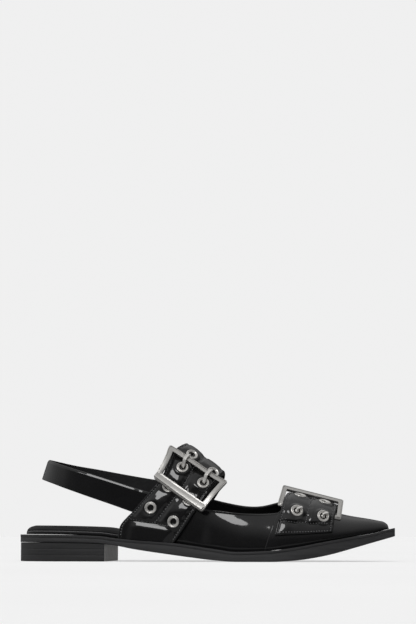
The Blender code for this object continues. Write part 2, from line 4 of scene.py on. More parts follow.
import bpy
import numpy as np
from bpy.props import FloatProperty, FloatVectorProperty, PointerProperty
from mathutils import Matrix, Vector


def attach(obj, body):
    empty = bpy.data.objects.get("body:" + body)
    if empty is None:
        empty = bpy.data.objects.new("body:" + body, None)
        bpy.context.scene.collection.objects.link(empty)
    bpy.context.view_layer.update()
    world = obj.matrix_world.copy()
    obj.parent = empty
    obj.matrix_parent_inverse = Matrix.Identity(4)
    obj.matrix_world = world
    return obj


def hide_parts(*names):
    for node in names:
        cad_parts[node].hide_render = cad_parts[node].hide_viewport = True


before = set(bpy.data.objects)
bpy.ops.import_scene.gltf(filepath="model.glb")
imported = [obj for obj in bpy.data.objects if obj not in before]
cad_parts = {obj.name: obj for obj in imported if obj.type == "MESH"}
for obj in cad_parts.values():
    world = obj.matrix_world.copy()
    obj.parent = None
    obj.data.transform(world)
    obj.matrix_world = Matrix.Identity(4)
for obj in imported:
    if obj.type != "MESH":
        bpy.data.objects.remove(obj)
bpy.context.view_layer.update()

bl_info = {
    "name": "Slingback flat",
    "version": (1, 0, 0),
    "blender": (4, 5, 0),
    "location": "View3D > Sidebar > Slingback",
    "description": "Fine leather, rubber and metal surfaces for a pointed-toe slingback flat",
    "category": "Object",
}

BODY = "root"
HALF_TURN = math.pi / 2.0

# The shoe's tables hold millimetres; a turn on the last goes from 0 at the outer edge to pi at the inner
MM = 0.001
GAP = 0.3


def table(kind, *rows):
    """Rows of one kind of named tuple."""
    return [kind(*row) for row in rows]


# Plan and side view of the sole: half widths from the centre line, and the two heights
SoleRow = namedtuple("SoleRow", "x outer inner top bottom")
SOLE = table(
    SoleRow,
    (-137.5, 30.0, 30.8, 19.4, 13.9),
    (-104.5, 30.4, 31.2, 19.1, 13.6),
    (-88.0, 30.9, 31.0, 18.7, 13.3),
    (-74.0, 31.1, 30.2, 18.1, 12.8),
    (-61.0, 31.3, 29.8, 16.4, 11.2),
    (-50.0, 31.7, 29.6, 15.5, 9.1),
    (-22.0, 33.5, 30.4, 13.4, 5.0),
    (-9.0, 35.6, 32.2, 11.8, 3.3),
    (10.0, 39.0, 36.2, 9.0, 1.1),
    (27.0, 41.6, 40.0, 7.0, 0.0),
    (50.0, 42.9, 42.9, 7.7, 0.0),
    (62.0, 41.6, 42.2, 9.2, 0.5),
    (74.0, 38.8, 40.3, 11.1, 1.6),
    (86.0, 34.8, 36.7, 13.5, 3.8),
    (108.0, 23.8, 26.4, 17.6, 9.7),
    (122.0, 14.3, 18.2, 20.1, 13.7),
    (132.0, 7.8, 12.8, 22.8, 16.5),
    (137.5, 4.4, 9.9, 24.0, 18.1),
)
HEEL_BACK_X = SOLE[0].x
TOE_X = SOLE[-1].x
HEEL_RADIUS = 33.0
HEEL_BACK_FLAT = 3.0
NARROWEST = 0.2
TOE_CORNER = 2.5
TOE_CORNER_SHARE = 0.22
WELT_THICKNESS = 2.0
WELT_GROOVE = 0.5
SOLE_EDGE = 0.8

# Side of the welt over the groove under it: draw-in, and height from the welt's underside
WELT_EDGE = 0.5
WELT_SIDE = [(WELT_GROOVE, -0.1), (WELT_GROOVE + 0.2, 0.1), (0.15, 0.35), (0.0, 0.7)]

# Height of the ridge, its place across, and how full each section of the last is
LastRow = namedtuple("LastRow", "x ridge middle fullness")
LAST = table(
    LastRow,
    (-66.0, 120.0, 0.6, 2.10),
    (-40.0, 100.9, 0.6, 2.10),
    (-13.8, 81.8, 0.6, 2.15),
    (12.4, 62.4, 0.8, 2.20),
    (34.0, 52.2, 1.2, 2.20),
    (57.0, 47.0, 1.6, 2.20),
    (76.0, 41.2, 2.0, 2.20),
    (90.0, 36.6, 2.2, 2.20),
    (100.0, 33.2, 2.4, 2.20),
    (121.0, 29.5, 2.7, 2.20),
    (129.0, 28.0, 2.8, 2.20),
    (135.0, 27.2, 2.8, 2.20),
)
FEATHER = 4.8
TIP_ROUND = 5.5
LAST_TIP = TOE_X - FEATHER

# Opening of the upper from the back to the middle of the throat: heights up the last on both sides
TopRow = namedtuple("TopRow", "share x outer inner")
TOPLINE = table(
    TopRow,
    (0.00, -8.0, 0.42, 0.55),
    (0.17, 5.0, 0.48, 0.61),
    (0.38, 20.0, 0.55, 0.67),
    (0.60, 37.0, 0.612, 0.75),
    (0.76, 48.0, 0.65, 0.84),
    (0.87, 56.5, 0.70, 0.93),
    (0.95, 60.5, 0.85, 0.98),
    (1.00, 61.5, 1.00, 1.00),
)
QUARTER_BACK_X = -42.0
SEAM_X = 46.5
SEAM_SHARE = 0.87
SEAM_RAMP = 0.4
SEAM_LAP = 0.01
TIP_SHARE = 0.985
WALL = 1.6
VAMP_LIFT = 0.8

# Back and front edges of each strap against the height up the last
EdgeRow = namedtuple("EdgeRow", "rise back front")
INSTEP_EDGES = table(
    EdgeRow,
    (0.00, -60.4, -19.3),
    (0.075, -59.3, -15.6),
    (0.22, -48.9, -9.6),
    (0.40, -37.8, -3.2),
    (0.55, -30.0, 2.0),
    (0.76, -24.2, 8.2),
    (0.815, -23.4, 9.6),
    (1.00, -14.6, 13.6),
)
TOE_EDGES = table(
    EdgeRow,
    (0.00, 51.6, 94.0),
    (0.25, 53.8, 94.4),
    (0.70, 58.0, 95.6),
    (1.00, 60.6, 96.7),
)
COLUMN_EDGES = (0.06, 0.485)
COLUMN_RAMP = 0.085

# Padding, ends and bars of each strap; lifts are heights off the last
StrapSize = namedtuple("StrapSize", "start pad_start lift base pad bars squash")
INSTEP = StrapSize(0.0, 0.150, 0.4, 2.0, 1.7, (0.50, 1.02), 0.6)
TOE = StrapSize(0.253, 0.49, 1.3, 1.6, 1.7, (1.48,), 0.5)
PAD_END = 0.018
PAD_EDGE_SHARE = 0.55
SQUASH_WIDTH = 0.15

# Extra lift of the toe strap at its back and front edge, where it passes over its buckle
RiseRow = namedtuple("RiseRow", "turn back front")
TOE_RISE = table(
    RiseRow,
    (0.25, 0.0, 0.0),
    (0.62, 0.2, 0.2),
    (0.78, 1.5, 1.5),
    (1.05, 1.5, 1.6),
    (1.27, 0.96, 2.14),
    (1.50, 0.54, 2.92),
    (1.75, 0.44, 2.32),
    (2.15, 0.34, 0.66),
    (2.50, 0.0, 0.0),
    (2.90, 0.0, 0.0),
)

# Buckle frames: width of the bars and the sides, how far up the frame follows the last, and each corner
Corner = namedtuple("Corner", "turn share lift thick")
BuckleSize = namedtuple("BuckleSize", "bar side laid low_back low_front high_back high_front")
INSTEP_BUCKLE = BuckleSize(
    bar=4.7, side=3.8, laid=math.inf,
    low_back=Corner(0.565, -0.028, 6.1, 2.6), low_front=Corner(0.435, 1.128, 6.1, 2.6),
    high_back=Corner(0.980, 0.012, 5.7, 2.6), high_front=Corner(0.975, 1.185, 5.8, 2.6))
TOE_BUCKLE = BuckleSize(
    bar=4.2, side=3.6, laid=0.3,
    low_back=Corner(0.94, -0.062, 1.75, 1.2), low_front=Corner(0.88, 1.058, 1.75, 1.2),
    high_back=Corner(1.47, -0.062, 6.3, 2.4), high_front=Corner(1.47, 1.058, 9.0, 2.4))
OUTER_CORNER = 1.6
INNER_CORNER = 0.7

# Bar under the instep strap, and the prongs from their eyelets to their tips
BAR_TURN = 0.75
BAR_RADIUS = 1.1
BAR_DROP = -1.0
BAR_END_LIFT = 2.9
BAR_BACK = 0.052
BAR_FRONT = 0.10
BAR_TUCK = 0.8
BAR_EASE = 0.4
PRONG_RADIUS = 1.15
PRONG_FLAT = (2.5, 1.15, 0.35)
PRONG_TIP = 0.97
PRONG_TIP_RUN = 0.0305
ProngRow = namedtuple("ProngRow", "share lift radius")
INSTEP_PRONG = table(
    ProngRow,
    (0.00, 3.8, 1.0),
    (0.15, 5.2, 1.0),
    (0.35, 7.4, 1.0),
    (0.55, 7.85, 1.0),
    (0.80, 7.9, 1.0),
    (1.00, 7.7, 0.95),
)
TOE_PRONG = table(
    ProngRow,
    (0.00, 7.6, 0.45),
    (0.35, 8.5, 0.50),
    (0.75, 8.8, 0.70),
    (1.00, 8.7, 0.60),
)

# Places of each pair of eyelets and of each prong's tip
Spot = namedtuple("Spot", "turn share")
PairRow = namedtuple("PairRow", "back front")
INSTEP_EYELETS = [
    PairRow(Spot(0.27, 0.25), Spot(0.195, 0.78)),
    PairRow(Spot(0.53, 0.25), Spot(0.475, 0.78)),
    PairRow(Spot(0.83, 0.32), Spot(0.785, 0.83)),
    PairRow(Spot(1.17, 0.335), Spot(1.13, 0.865)),
]
TOE_EYELETS = [
    PairRow(Spot(0.72, 0.305), Spot(0.675, 0.79)),
    PairRow(Spot(1.24, 0.28), Spot(1.245, 0.76)),
]
INSTEP_PRONG_PAIR = INSTEP_EYELETS[2]
TOE_PRONG_PAIR = TOE_EYELETS[0]
INSTEP_PRONG_END = PairRow(Spot(1.02, 0.40), Spot(1.03, 0.89))
TOE_PRONG_END = PairRow(Spot(0.76, 0.41), Spot(0.715, 0.895))

# Footbed: how far inside the sole's outline it lies, and its thickness, along the shoe
InsoleRow = namedtuple("InsoleRow", "x inset thick")
INSOLE = table(
    InsoleRow,
    (-132.9, 4.6, 2.2),
    (-131.0, 4.6, 4.0),
    (-128.0, 4.6, 5.5),
    (-123.0, 4.6, 6.4),
    (-75.0, 4.6, 6.4),
    (-60.0, 7.2, 6.2),
    (0.0, 7.2, 4.4),
    (60.0, 7.2, 3.0),
    (121.0, 7.2, 1.4),
)

# Heel block, and the lines between the layers of its stack
HEEL_BREAST_X = -70.0
HEEL_INSET = 0.4
HEEL_LAYER = 4.5
HEEL_EDGE = 0.7
HEEL_LINE = 0.3
HEEL_LINE_WIDTH = 0.25
HEEL_LINE_SPAN = 0.6

# Band round the heel, from the instep strap to the back: half widths and heights of both sides
SlingRow = namedtuple("SlingRow", "x outer inner outer_height inner_height width lean")
SLING = table(
    SlingRow,
    (-32.0, 22.2, 19.4, 38.8, 49.6, 18.0, 0.0),
    (-41.0, 25.6, 20.8, 41.5, 51.0, 18.0, 0.0),
    (-46.0, 25.5, 21.6, 43.0, 51.8, 18.0, 0.0),
    (-66.0, 24.5, 24.0, 49.6, 55.6, 17.4, 0.2),
    (-86.0, 23.2, 24.0, 56.1, 59.6, 16.8, 0.8),
    (-102.0, 20.4, 21.2, 61.3, 62.8, 15.8, 1.4),
    (-111.8, 15.2, 15.2, 64.7, 65.2, 15.0, 1.9),
    (-117.0, 8.0, 8.0, 66.4, 66.5, 14.6, 2.2),
    (-118.8, 0.0, 0.0, 66.9, 66.9, 14.5, 2.3),
)
SLING_THICKNESS = 2.0
SLING_TOP_ROUND = 0.3
SLING_LOW_ROUND = 0.7
SLING_TAPER = 0.55
SLING_TAPER_HEIGHT = 1.7

# Soft facets of the straps' leather: each tilts the face across and along the strap near its place
Facet = namedtuple("Facet", "turn share spread across along")
INSTEP_FACETS = table(
    Facet,
    (0.643, 0.32, 4.0, 0.15, -0.17),
    (0.609, 0.58, 3.0, -0.23, -0.19),
    (0.568, 0.85, 4.0, 0.17, -0.03),
    (0.447, 0.32, 3.0, 0.09, -0.05),
    (0.421, 0.57, 2.2, -0.23, -0.08),
    (0.372, 0.83, 3.0, 0.09, -0.06),
)
TOE_FACETS = table(
    Facet,
    (0.412, 0.106, 5.0, 0.23, 0.03),
    (0.562, 0.325, 3.0, 0.38, 0.23),
    (0.584, 0.594, 3.0, 0.09, 0.33),
)

# Each strap whole, with its count of mesh rows and whether its lower end stands off as a skirt
Strap = namedtuple("Strap", "name edges size eyelets rises facets rows skirt")
INSTEP_STRAP = Strap("instep", INSTEP_EDGES, INSTEP, INSTEP_EYELETS, (), INSTEP_FACETS, 281, 1.0)
TOE_STRAP = Strap("toe", TOE_EDGES, TOE, TOE_EYELETS, TOE_RISE, TOE_FACETS, 181, 0.0)

# Edges of the upper and the straps
TOPLINE_ROUND = 1.0
TUCK = 0.5
TUCK_HEIGHT = 1.3
STRAP_ROUND = 0.8

# Frames: their rounding and the most of a thin bar that it takes, the line cut in the face as distances
# from the edge and depths, and the sleeve on the instep frame's low bar
FRAME_ROUND = 0.32
THIN_CORNER = 0.45
FRAME_LINE = [(0.65, 0.0), (0.85, 0.35), (1.15, 0.35), (1.35, 0.0)]
SLEEVE = 0.5
SLEEVE_REACH = (-0.03, 1.02)

# Mesh: rows up the upper and how they crowd at its edges, strap columns near an edge and how many of
# their faces show the lining, points round a bar and a stitch, and the angle of a sharp edge in degrees
UPPER_ROWS = 64
ROW_CROWDING = 0.12
EDGE_SHARES = (0.0, 0.0015, 0.004, 0.008, 0.013, 0.019)
LINED_EDGE = 4
SECTION_POINTS = 24
STITCH_RINGS = 7
STITCH_SIDES = 6
SHARP_ANGLE = 50.0

# Attribute that holds the lengths along and across a piece's rings, which brushed metal follows
FLOW = "flow"

# Footbed's top and side: dip of its middle, then how far in and how high, as shares of its thickness
INSOLE_DISH = 0.8
DISH_POWER = 1.5
SideRow = namedtuple("SideRow", "reach level")
INSOLE_SIDE = table(
    SideRow,
    (0.06, 0.0), (0.01, 0.06), (0.0, 0.14), (0.0, 0.26), (0.03, 0.34), (0.09, 0.385), (0.15, 0.395),
    (0.12, 0.43), (0.11, 0.50), (0.14, 0.60), (0.22, 0.72), (0.36, 0.84), (0.56, 0.93), (0.80, 0.98),
    (1.1, 1.0),
)
# Columns of the footbed's side in the thread look: a cord along the rand's lip whose lighter colour also
# paints the thin highlight line along that edge
INSOLE_CORD_HIGHLIGHT = (4, 5)

# Padding: where its crown starts to add height, swell beside the bars, and pulls beside stitches, whose
# wave is shifted by slower waves of a size and a length
CROWN_BASE = 0.6
SWELL = 0.28
SWELL_AWAY = 0.17
SWELL_WIDTH = 0.07
PULL_STEP = 4.6
PULL_REACH = 2.6
PULL_DRIFTS = [(1.7, 7.3), (0.9, 2.9)]

# Grooves under the stitching: depth, widths at the edge and in the rows, and where a row starts
STITCH_GROOVE = 0.3
EDGE_GROOVE_WIDTH = 0.5
ROW_GROOVE_WIDTH = 0.6
ROW_START = 1.5
ROW_EASE = 1.0
PAD_RAMP = 2.0

# Stitches as shares of their pitch and thickness, and how far their lines keep from the strap's edges
STITCH_HALF = 0.29
STITCH_END = 0.97
STITCH_BULGE = 0.5
STITCH_DIVE = 1.3
STITCH_AHEAD = 0.4
LINE_MARGIN = 0.02
ROW_MARGIN = 0.07
END_ROW = 0.8

# Lower end of the instep strap: a skirt below the padding, and a flare away from the sole
SKIRT_RUN = 4.6
SKIRT_INSET = (4.0, 1.5)
SKIRT_EASE = 8.0
FLARE = 1.65
FLARE_RUN = 30.0

# Seats of the eyelets: how the leather is pressed flat round them and sunk in their holes
EYELET_RADIUS = 4.4
SEAT_SINK = 0.05
SEAT_FADE = 2.6
SEAT_DEPTH = 4.0
EYELET_PIT = 1.6
EYELET_HOLE = 3.3
EYELET_HOLE_EASE = 0.8

# Profiles turned about an eyelet's axis: its rim and barrel, and a prong's domed head
RimRow = namedtuple("RimRow", "reach height")
EYELET_RIM = table(
    RimRow,
    (4.25, -0.05), (4.42, 0.10), (4.40, 0.40), (4.15, 0.70), (3.80, 0.80), (3.50, 0.66), (3.32, 0.42),
    (3.18, 0.36), (3.02, 0.44), (2.80, 0.60), (2.55, 0.52), (2.36, 0.22), (2.30, -0.15), (2.30, -1.0),
    (2.55, -1.0), (2.55, -0.05),
)
PRONG_HEAD = table(
    RimRow,
    (0.12, 0.75), (0.55, 0.71), (1.0, 0.58), (1.35, 0.32), (1.5, -0.05), (1.5, -1.0), (0.12, -1.0),
)

# Soft folds of the upper, from one place on the last to another
Fold = namedtuple("Fold", "x turn end_x end_turn width height")
UPPER_FOLDS = table(
    Fold,
    (3.0, 0.50, 0.0, 0.12, 6.0, -0.5),
    (46.0, 0.15, 48.0, 0.85, 10.0, -0.60),
)

# Finishes: span of the noise that tones use, streaks of the rubbers along each axis, and their gloss
NOISE_SPAN = (0.3, 0.7)
SOLE_STREAK = (0.5, 0.5, 9.0)
HEEL_STREAK = (0.4, 0.4, 12.0)
BREAST_STREAK = (6.0, 5.0, 2.5)
BREAST_GLOSS = 1.0
RUBBER_ROUGHNESS = 0.68
RUBBER_SHINE = 0.45

# Room, lights and camera, in metres
ROOM_TONES = [(0.0, 0.05), (0.26, 0.08), (0.64, 0.45), (1.0, 0.62)]
LEFT_GLOW = (-0.45, -1.0, 0.5)
Sun = namedtuple("Sun", "name tilt roll spread share")
SUNS = [Sun("ceiling", 20.0, -8.0, 60.0, 0.86), Sun("fill", 74.0, 0.0, 50.0, 0.25)]
Softbox = namedtuple("Softbox", "name place target size power")
SOFTBOXES = table(
    Softbox,
    ("window", (-0.304, -1.219, 1.020), (0.0, 0.0, 0.03), (0.39, 0.48), 3.28),
)
FLOOR_HALF = 12.0
FLOOR_MIRRORED = 0.3
FLOOR_GLOW = 1.3
CAMERA_TURN = 7.0
CAMERA_RIGHT = 0.00148
CAMERA_UP = 0.16302
CLIP_START = 0.01
SENSOR = 36.0
PICTURE_ROWS = 624
PIXEL = 0.00074


def ease(t):
    """Smooth step from 0 to 1: three t squared less two t cubed."""
    t = np.clip(t, 0.0, 1.0)
    return t * t * (3.0 - 2.0 * t)


def cubic(x, y, slope, at):
    """Hermite cubic through points with slopes: eased from point to point, bowed by both slopes."""
    i = np.clip(np.searchsorted(x, at) - 1, 0, len(x) - 2)
    step = x[i + 1] - x[i]
    t = (at - x[i]) / step
    bow = t * (1.0 - t) * step
    straight = y[..., i] + (y[..., i + 1] - y[..., i]) * ease(t)
    return straight + bow * ((1.0 - t) * slope[..., i] - t * slope[..., i + 1])


def through(rows, key, column, at):
    """Monotone cubic curve through one column of a table: Hermite pieces with harmonic mean slopes."""
    x = np.array([getattr(row, key) for row in rows])
    y = np.array([getattr(row, column) for row in rows])
    step = np.diff(x)
    rate = np.diff(y) / step
    slope = np.concatenate(([rate[0]], np.zeros(len(x) - 2), [rate[-1]]))
    bends = rate[:-1] * rate[1:] > 0.0
    before = 2.0 * step[1:] + step[:-1]
    after = step[1:] + 2.0 * step[:-1]
    left = np.where(bends, rate[:-1], 1.0)
    right = np.where(bends, rate[1:], 1.0)
    slope[1:-1] = np.where(bends, (before + after) / (before / left + after / right), 0.0)
    return cubic(x, y, slope, np.clip(np.asarray(at, float), x[0], x[-1]))


def bell(t):
    """Bell curve: e to the power of minus t squared."""
    return np.exp(-np.square(t))


def unit(vectors):
    """Vectors of length one along the last axis."""
    return vectors / np.linalg.norm(vectors, axis=-1, keepdims=True)


def quarter_round(distance, radius):
    """Height share of a rounded edge at a distance in from it: a quarter circle, then one."""
    return np.sqrt(1.0 - np.clip(1.0 - distance / radius, 0.0, 0.995) ** 2)


def run_length(points):
    """Length along the first axis of a line or grid of points, from zero."""
    step = np.linalg.norm(np.diff(points, axis=0), axis=-1)
    return np.concatenate((np.zeros_like(step[:1]), np.cumsum(step, axis=0)))


def sole_half(x, side, inset=0.0):
    """Half width of the sole's outline: table width, times a quarter ellipse round the heel."""
    wide = through(SOLE, "x", side, x) - inset
    behind = (HEEL_BACK_X + HEEL_RADIUS - x) / (HEEL_RADIUS - inset)
    round_back = np.sqrt(np.clip(1.0 - np.clip(behind, 0.0, None) ** 2, 0.0, 1.0))
    ahead = np.clip((x - (TOE_X - TOE_CORNER)) / TOE_CORNER, 0.0, 1.0)
    return np.maximum(wide * round_back * (1.0 - TOE_CORNER_SHARE * ahead ** 2), HEEL_BACK_FLAT)


def last_point(x, turn, lift=0.0):
    """Point on the last, lifted off it: at each x an arch whose width is a superellipse of its rise."""
    x, turn, lift = np.broadcast_arrays(*(np.asarray(v, float) for v in (x, turn, lift)))
    ridge = through(LAST, "x", "ridge", x)
    slope = (through(LAST, "x", "ridge", x + 1.0) - through(LAST, "x", "ridge", x - 1.0)) / 2.0
    foot = through(SOLE, "x", "top", x) + GAP
    middle = through(LAST, "x", "middle", x)
    power = through(LAST, "x", "fullness", x)
    rise = np.clip(np.sin(turn), 0.0, 1.0)
    spread = (1.0 - rise ** power) ** (1.0 / power)
    ahead = np.clip((x - (LAST_TIP + lift - TIP_ROUND)) / TIP_ROUND, 0.0, 1.0)
    height = (ridge + lift * np.sqrt(1.0 + slope ** 2) - foot) * np.sqrt(1.0 - ahead ** 2)
    outer = -middle - sole_half(x, "outer") + FEATHER - lift
    inner = sole_half(x, "inner") - FEATHER + lift - middle
    y = middle + spread * np.where(turn < HALF_TURN, outer, inner)
    return np.stack((x, y, foot + height * rise), axis=-1)


def lift_direction(x, turn, lift):
    """Unit direction straight off the last: the way a point goes as its lift grows."""
    return unit(last_point(x, turn, lift + 0.5) - last_point(x, turn, lift))


def strap_x(edges, turn, share):
    """Place along x of a share of a strap's width: back edge plus that share of the way to the front."""
    rise = np.sin(turn)
    back = through(edges, "rise", "back", rise)
    return back + (through(edges, "rise", "front", rise) - back) * share


def pad_height(size, turn, share):
    """Height of the padding's solid: two columns with eased sides, flat at the ends, pressed at bars."""
    middle = np.minimum(share, 1.0 - share)
    column = ease((middle - COLUMN_EDGES[0]) / COLUMN_RAMP) * ease((COLUMN_EDGES[1] - middle) / COLUMN_RAMP)
    ends = ease((np.sin(turn) - size.pad_start) / PAD_END)
    pressed = sum(bell((turn - bar) / SQUASH_WIDTH) for bar in size.bars)
    quilted = PAD_EDGE_SHARE + (1.0 - PAD_EDGE_SHARE) * column
    return size.pad * quilted * ends * (1.0 - size.squash * pressed)


def strap_under(strap, turn, share):
    """Lift of a strap's underside: its own lift, and the rise of the back and front edge between them."""
    if not strap.rises:
        return strap.size.lift + 0.0 * turn * share
    back = through(strap.rises, "turn", "back", turn)
    return strap.size.lift + back + (through(strap.rises, "turn", "front", turn) - back) * share


def ring_faces(count, around, looped):
    """Quads between rings: point k joins k + 1 and the two beside them on the next ring.

    Without a loop, strips from each point to its mirror point across the first and last ring
    close the ends.
    """
    here = np.arange(count if looped else count - 1)[:, None] * around
    ahead = (here + around) % (count * around)
    k = np.arange(around)[None, :]
    m = (k + 1) % around
    faces = np.stack((here + k, here + m, ahead + m, ahead + k), axis=-1).reshape(-1, 4)
    if not looped:
        j = np.arange(around // 2 - 1)
        cap = np.stack((j, j + 1, around - 2 - j, around - 1 - j), axis=-1)
        faces = np.concatenate((faces, cap[:, ::-1], cap + (count - 1) * around))
    return faces


def mesh_piece(name, points, faces, looks, slots=None, flow=None):
    """Mesh object from points in millimetres; a negative sum of face volumes turns the faces round."""
    corner = points[faces]
    doubled = np.cross(corner[:, 2] - corner[:, 0], corner[:, 3] - corner[:, 1])
    if np.sum(corner.mean(axis=1) * doubled) < 0.0:
        faces = faces[:, ::-1]
    mesh = bpy.data.meshes.new(name)
    mesh.from_pydata((points * MM).tolist(), [], faces.tolist())
    for look in looks:
        mesh.materials.append(look)
    if slots is not None:
        mesh.polygons.foreach_set("material_index", slots.astype(np.int32))
    if flow is not None:
        lay = mesh.attributes.new(FLOW, "FLOAT_VECTOR", "POINT")
        lay.data.foreach_set("vector", flow.astype(np.float32).ravel())
    mesh.shade_smooth()
    mesh.set_sharp_from_angle(angle=math.radians(SHARP_ANGLE))
    piece = bpy.data.objects.new(name, mesh)
    bpy.context.scene.collection.objects.link(piece)
    return piece


def lined(around, inner, edge=0):
    """Marks a ring's columns that take the lining: from point `inner` on, and `edge` faces either side."""
    column = np.arange(around)
    return (column < edge) | (column >= inner - 1 - edge)


def skin(name, rings, looks, looped=False, second=None, end=0):
    """Closed piece through rings of points: marked columns take the second look, the last cap `end`."""
    count, around = rings.shape[:2]
    faces = ring_faces(count, around, looped)
    along = np.broadcast_to(run_length(rings), (count, around))
    across = np.broadcast_to(run_length(rings.transpose(1, 0, 2)).T, (count, around))
    flow = np.stack((along, across, np.zeros((count, around))), axis=-1)
    slots = np.zeros(len(faces), int)
    if second is not None:
        sides = count if looped else count - 1
        slots[:sides * around] = np.tile(second, sides)
    if end:
        slots[1 - around // 2:] = end
    return mesh_piece(name, rings.reshape(-1, 3), faces, looks, slots, flow.reshape(-1, 3))


def settle(piece, slot, *nodes, fill=None):
    """Puts a piece on the shoe's body, in place of its solids; the finish and padding that it is given are
    not used.
    """
    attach(piece, BODY)
    if nodes:
        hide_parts(*nodes)


def add(tree, kind, settings=None, **sockets):
    """Shader node of a kind with its settings; each socket takes a value or a link."""
    node = tree.nodes.new(kind)
    for key, value in (settings or {}).items():
        setattr(node, key, value)
    for key, value in sockets.items():
        socket = node.inputs[key.replace("_", " ")]
        if isinstance(value, bpy.types.NodeSocket):
            tree.links.new(value, socket)
        else:
            socket.default_value = value
    return node


def ramp(tree, factor, *stops):
    """Colour ramp through (place, colour) stops."""
    node = add(tree, "ShaderNodeValToRGB", Fac=factor)
    marks = node.color_ramp.elements
    while len(marks) < len(stops):
        marks.new(0.5)
    for mark, (place, colour) in zip(marks, stops):
        mark.position = place
        mark.color = (*colour, 1.0)
    return node.outputs["Color"]


def mottle(tree, value, colour, *factors, places=NOISE_SPAN):
    """Ramp over a noise of one colour times several brightnesses, each at its place."""
    shades = [tuple(channel * factor for channel in colour) for factor in factors]
    return ramp(tree, value, *zip(places, shades))


def noise(tree, vector, scale, detail=2.0, stretch=None):
    """Noise of a scale per metre; stretch squeezes it along each axis first."""
    if stretch is not None:
        vector = add(tree, "ShaderNodeMapping", Vector=vector, Scale=stretch).outputs["Vector"]
    return add(tree, "ShaderNodeTexNoise", Vector=vector, Scale=scale, Detail=detail).outputs["Fac"]


def between(tree, value, low, high):
    """A noise value spread from low to high."""
    start, end = NOISE_SPAN
    node = add(tree, "ShaderNodeMapRange", Value=value, From_Min=start, From_Max=end,
               To_Min=low, To_Max=high)
    return node.outputs["Result"]


def bump(tree, height, strength, distance, under=None):
    """Bump from a height, laid over another bump."""
    links = {} if under is None else {"Normal": under}
    node = add(tree, "ShaderNodeBump", Height=height, Strength=strength, Distance=distance, **links)
    return node.outputs["Normal"]


def new_look(name, roughness, metallic=0.0, **sockets):
    """Material with a principled shader, and the coordinates that its patterns read."""
    material = bpy.data.materials.new(name)
    material.use_nodes = True
    tree = material.node_tree
    shader = tree.nodes["Principled BSDF"]
    shader.inputs["Roughness"].default_value = roughness
    shader.inputs["Metallic"].default_value = metallic
    for key, value in sockets.items():
        shader.inputs[key.replace("_", " ")].default_value = value
    place = add(tree, "ShaderNodeTexCoord").outputs["Object"]
    return material, tree, shader, place


def shared(maker, colours):
    """Material of a maker, made once and named for it."""
    name = maker.__name__.removesuffix("_look")
    return bpy.data.materials.get(name) or maker(name, colours)


def join(tree, shader, **sockets):
    """Links pattern outputs to the shader's sockets."""
    for key, value in sockets.items():
        tree.links.new(value, shader.inputs[key.replace("_", " ")])


def patent_look(name, colours):
    """Patent leather: a faintly clouded black base under a clear coat, with slow ripples and fine grain."""
    look, tree, shader, place = new_look(name, roughness=0.42, Coat_Weight=1.0, Coat_Roughness=0.045,
                                         Coat_IOR=1.5, Specular_IOR_Level=0.12)
    tone = mottle(tree, noise(tree, place, scale=140.0, detail=3.0), colours.patent, 0.8, 1.25)
    ripple = bump(tree, noise(tree, place, scale=75.0, detail=1.0), strength=0.12, distance=0.0009)
    grain = bump(tree, noise(tree, place, scale=900.0), strength=0.05, distance=0.0003, under=ripple)
    join(tree, shader, Base_Color=tone, Normal=grain, Coat_Normal=ripple)
    return look


def lining_look(name, colours):
    """Lining leather: a dull dark side with a fine close grain."""
    look, tree, shader, place = new_look(name, roughness=0.6, Specular_IOR_Level=0.35)
    tone = mottle(tree, noise(tree, place, scale=260.0, detail=4.0), colours.lining, 0.75, 1.3)
    grain = bump(tree, noise(tree, place, scale=1500.0, detail=3.0), strength=0.35, distance=0.0003)
    join(tree, shader, Base_Color=tone, Normal=grain)
    return look


def insole_look(name, colours):
    """Footbed leather: smooth and dark with a satin gloss, faint clouds and a fine grain."""
    look, tree, shader, place = new_look(name, roughness=0.45, Specular_IOR_Level=0.2)
    clouds = noise(tree, place, scale=60.0, detail=4.0)
    tone = mottle(tree, clouds, colours.lining, 0.85, 1.2)
    grain = bump(tree, noise(tree, place, scale=1300.0, detail=3.0), strength=0.22, distance=0.00025)
    join(tree, shader, Base_Color=tone, Roughness=between(tree, clouds, 0.38, 0.55), Normal=grain)
    return look


def rubber_look(name, colour, streak, gloss=0.4):
    """Matt rubber: mottled tone, streaks from the mould or the stack, and a sandy grain."""
    look, tree, shader, place = new_look(name, roughness=0.6, Specular_IOR_Level=gloss)
    streaks = noise(tree, place, scale=60.0, detail=4.0, stretch=streak)
    tone = mottle(tree, streaks, colour, 0.72, 1.0, 1.45, places=(0.25, 0.5, 0.8))
    sand = bump(tree, noise(tree, place, scale=1700.0, detail=3.0), strength=0.3, distance=0.0003)
    lines = bump(tree, streaks, strength=0.18, distance=0.0005, under=sand)
    rough = between(tree, streaks, RUBBER_ROUGHNESS - RUBBER_SHINE * gloss, RUBBER_ROUGHNESS)
    join(tree, shader, Base_Color=tone, Roughness=rough, Normal=lines)
    return look


def metal_look(name, colours):
    """Brushed nickel: scratches along each bar in light and dark, and a slightly uneven gloss."""
    look, tree, shader, place = new_look(name, roughness=0.34, metallic=1.0)
    flow = add(tree, "ShaderNodeAttribute", {"attribute_name": FLOW}).outputs["Vector"]
    brush = noise(tree, flow, scale=1.0, detail=4.0, stretch=(0.06, 5.0, 1.0))
    clouds = noise(tree, place, scale=320.0, detail=3.0)
    tone = mottle(tree, brush, colours.metal, 0.78, 1.16, places=(0.25, 0.75))
    scratch = bump(tree, brush, strength=0.14, distance=0.0001)
    join(tree, shader, Base_Color=tone, Roughness=between(tree, clouds, 0.30, 0.40), Normal=scratch)
    return look


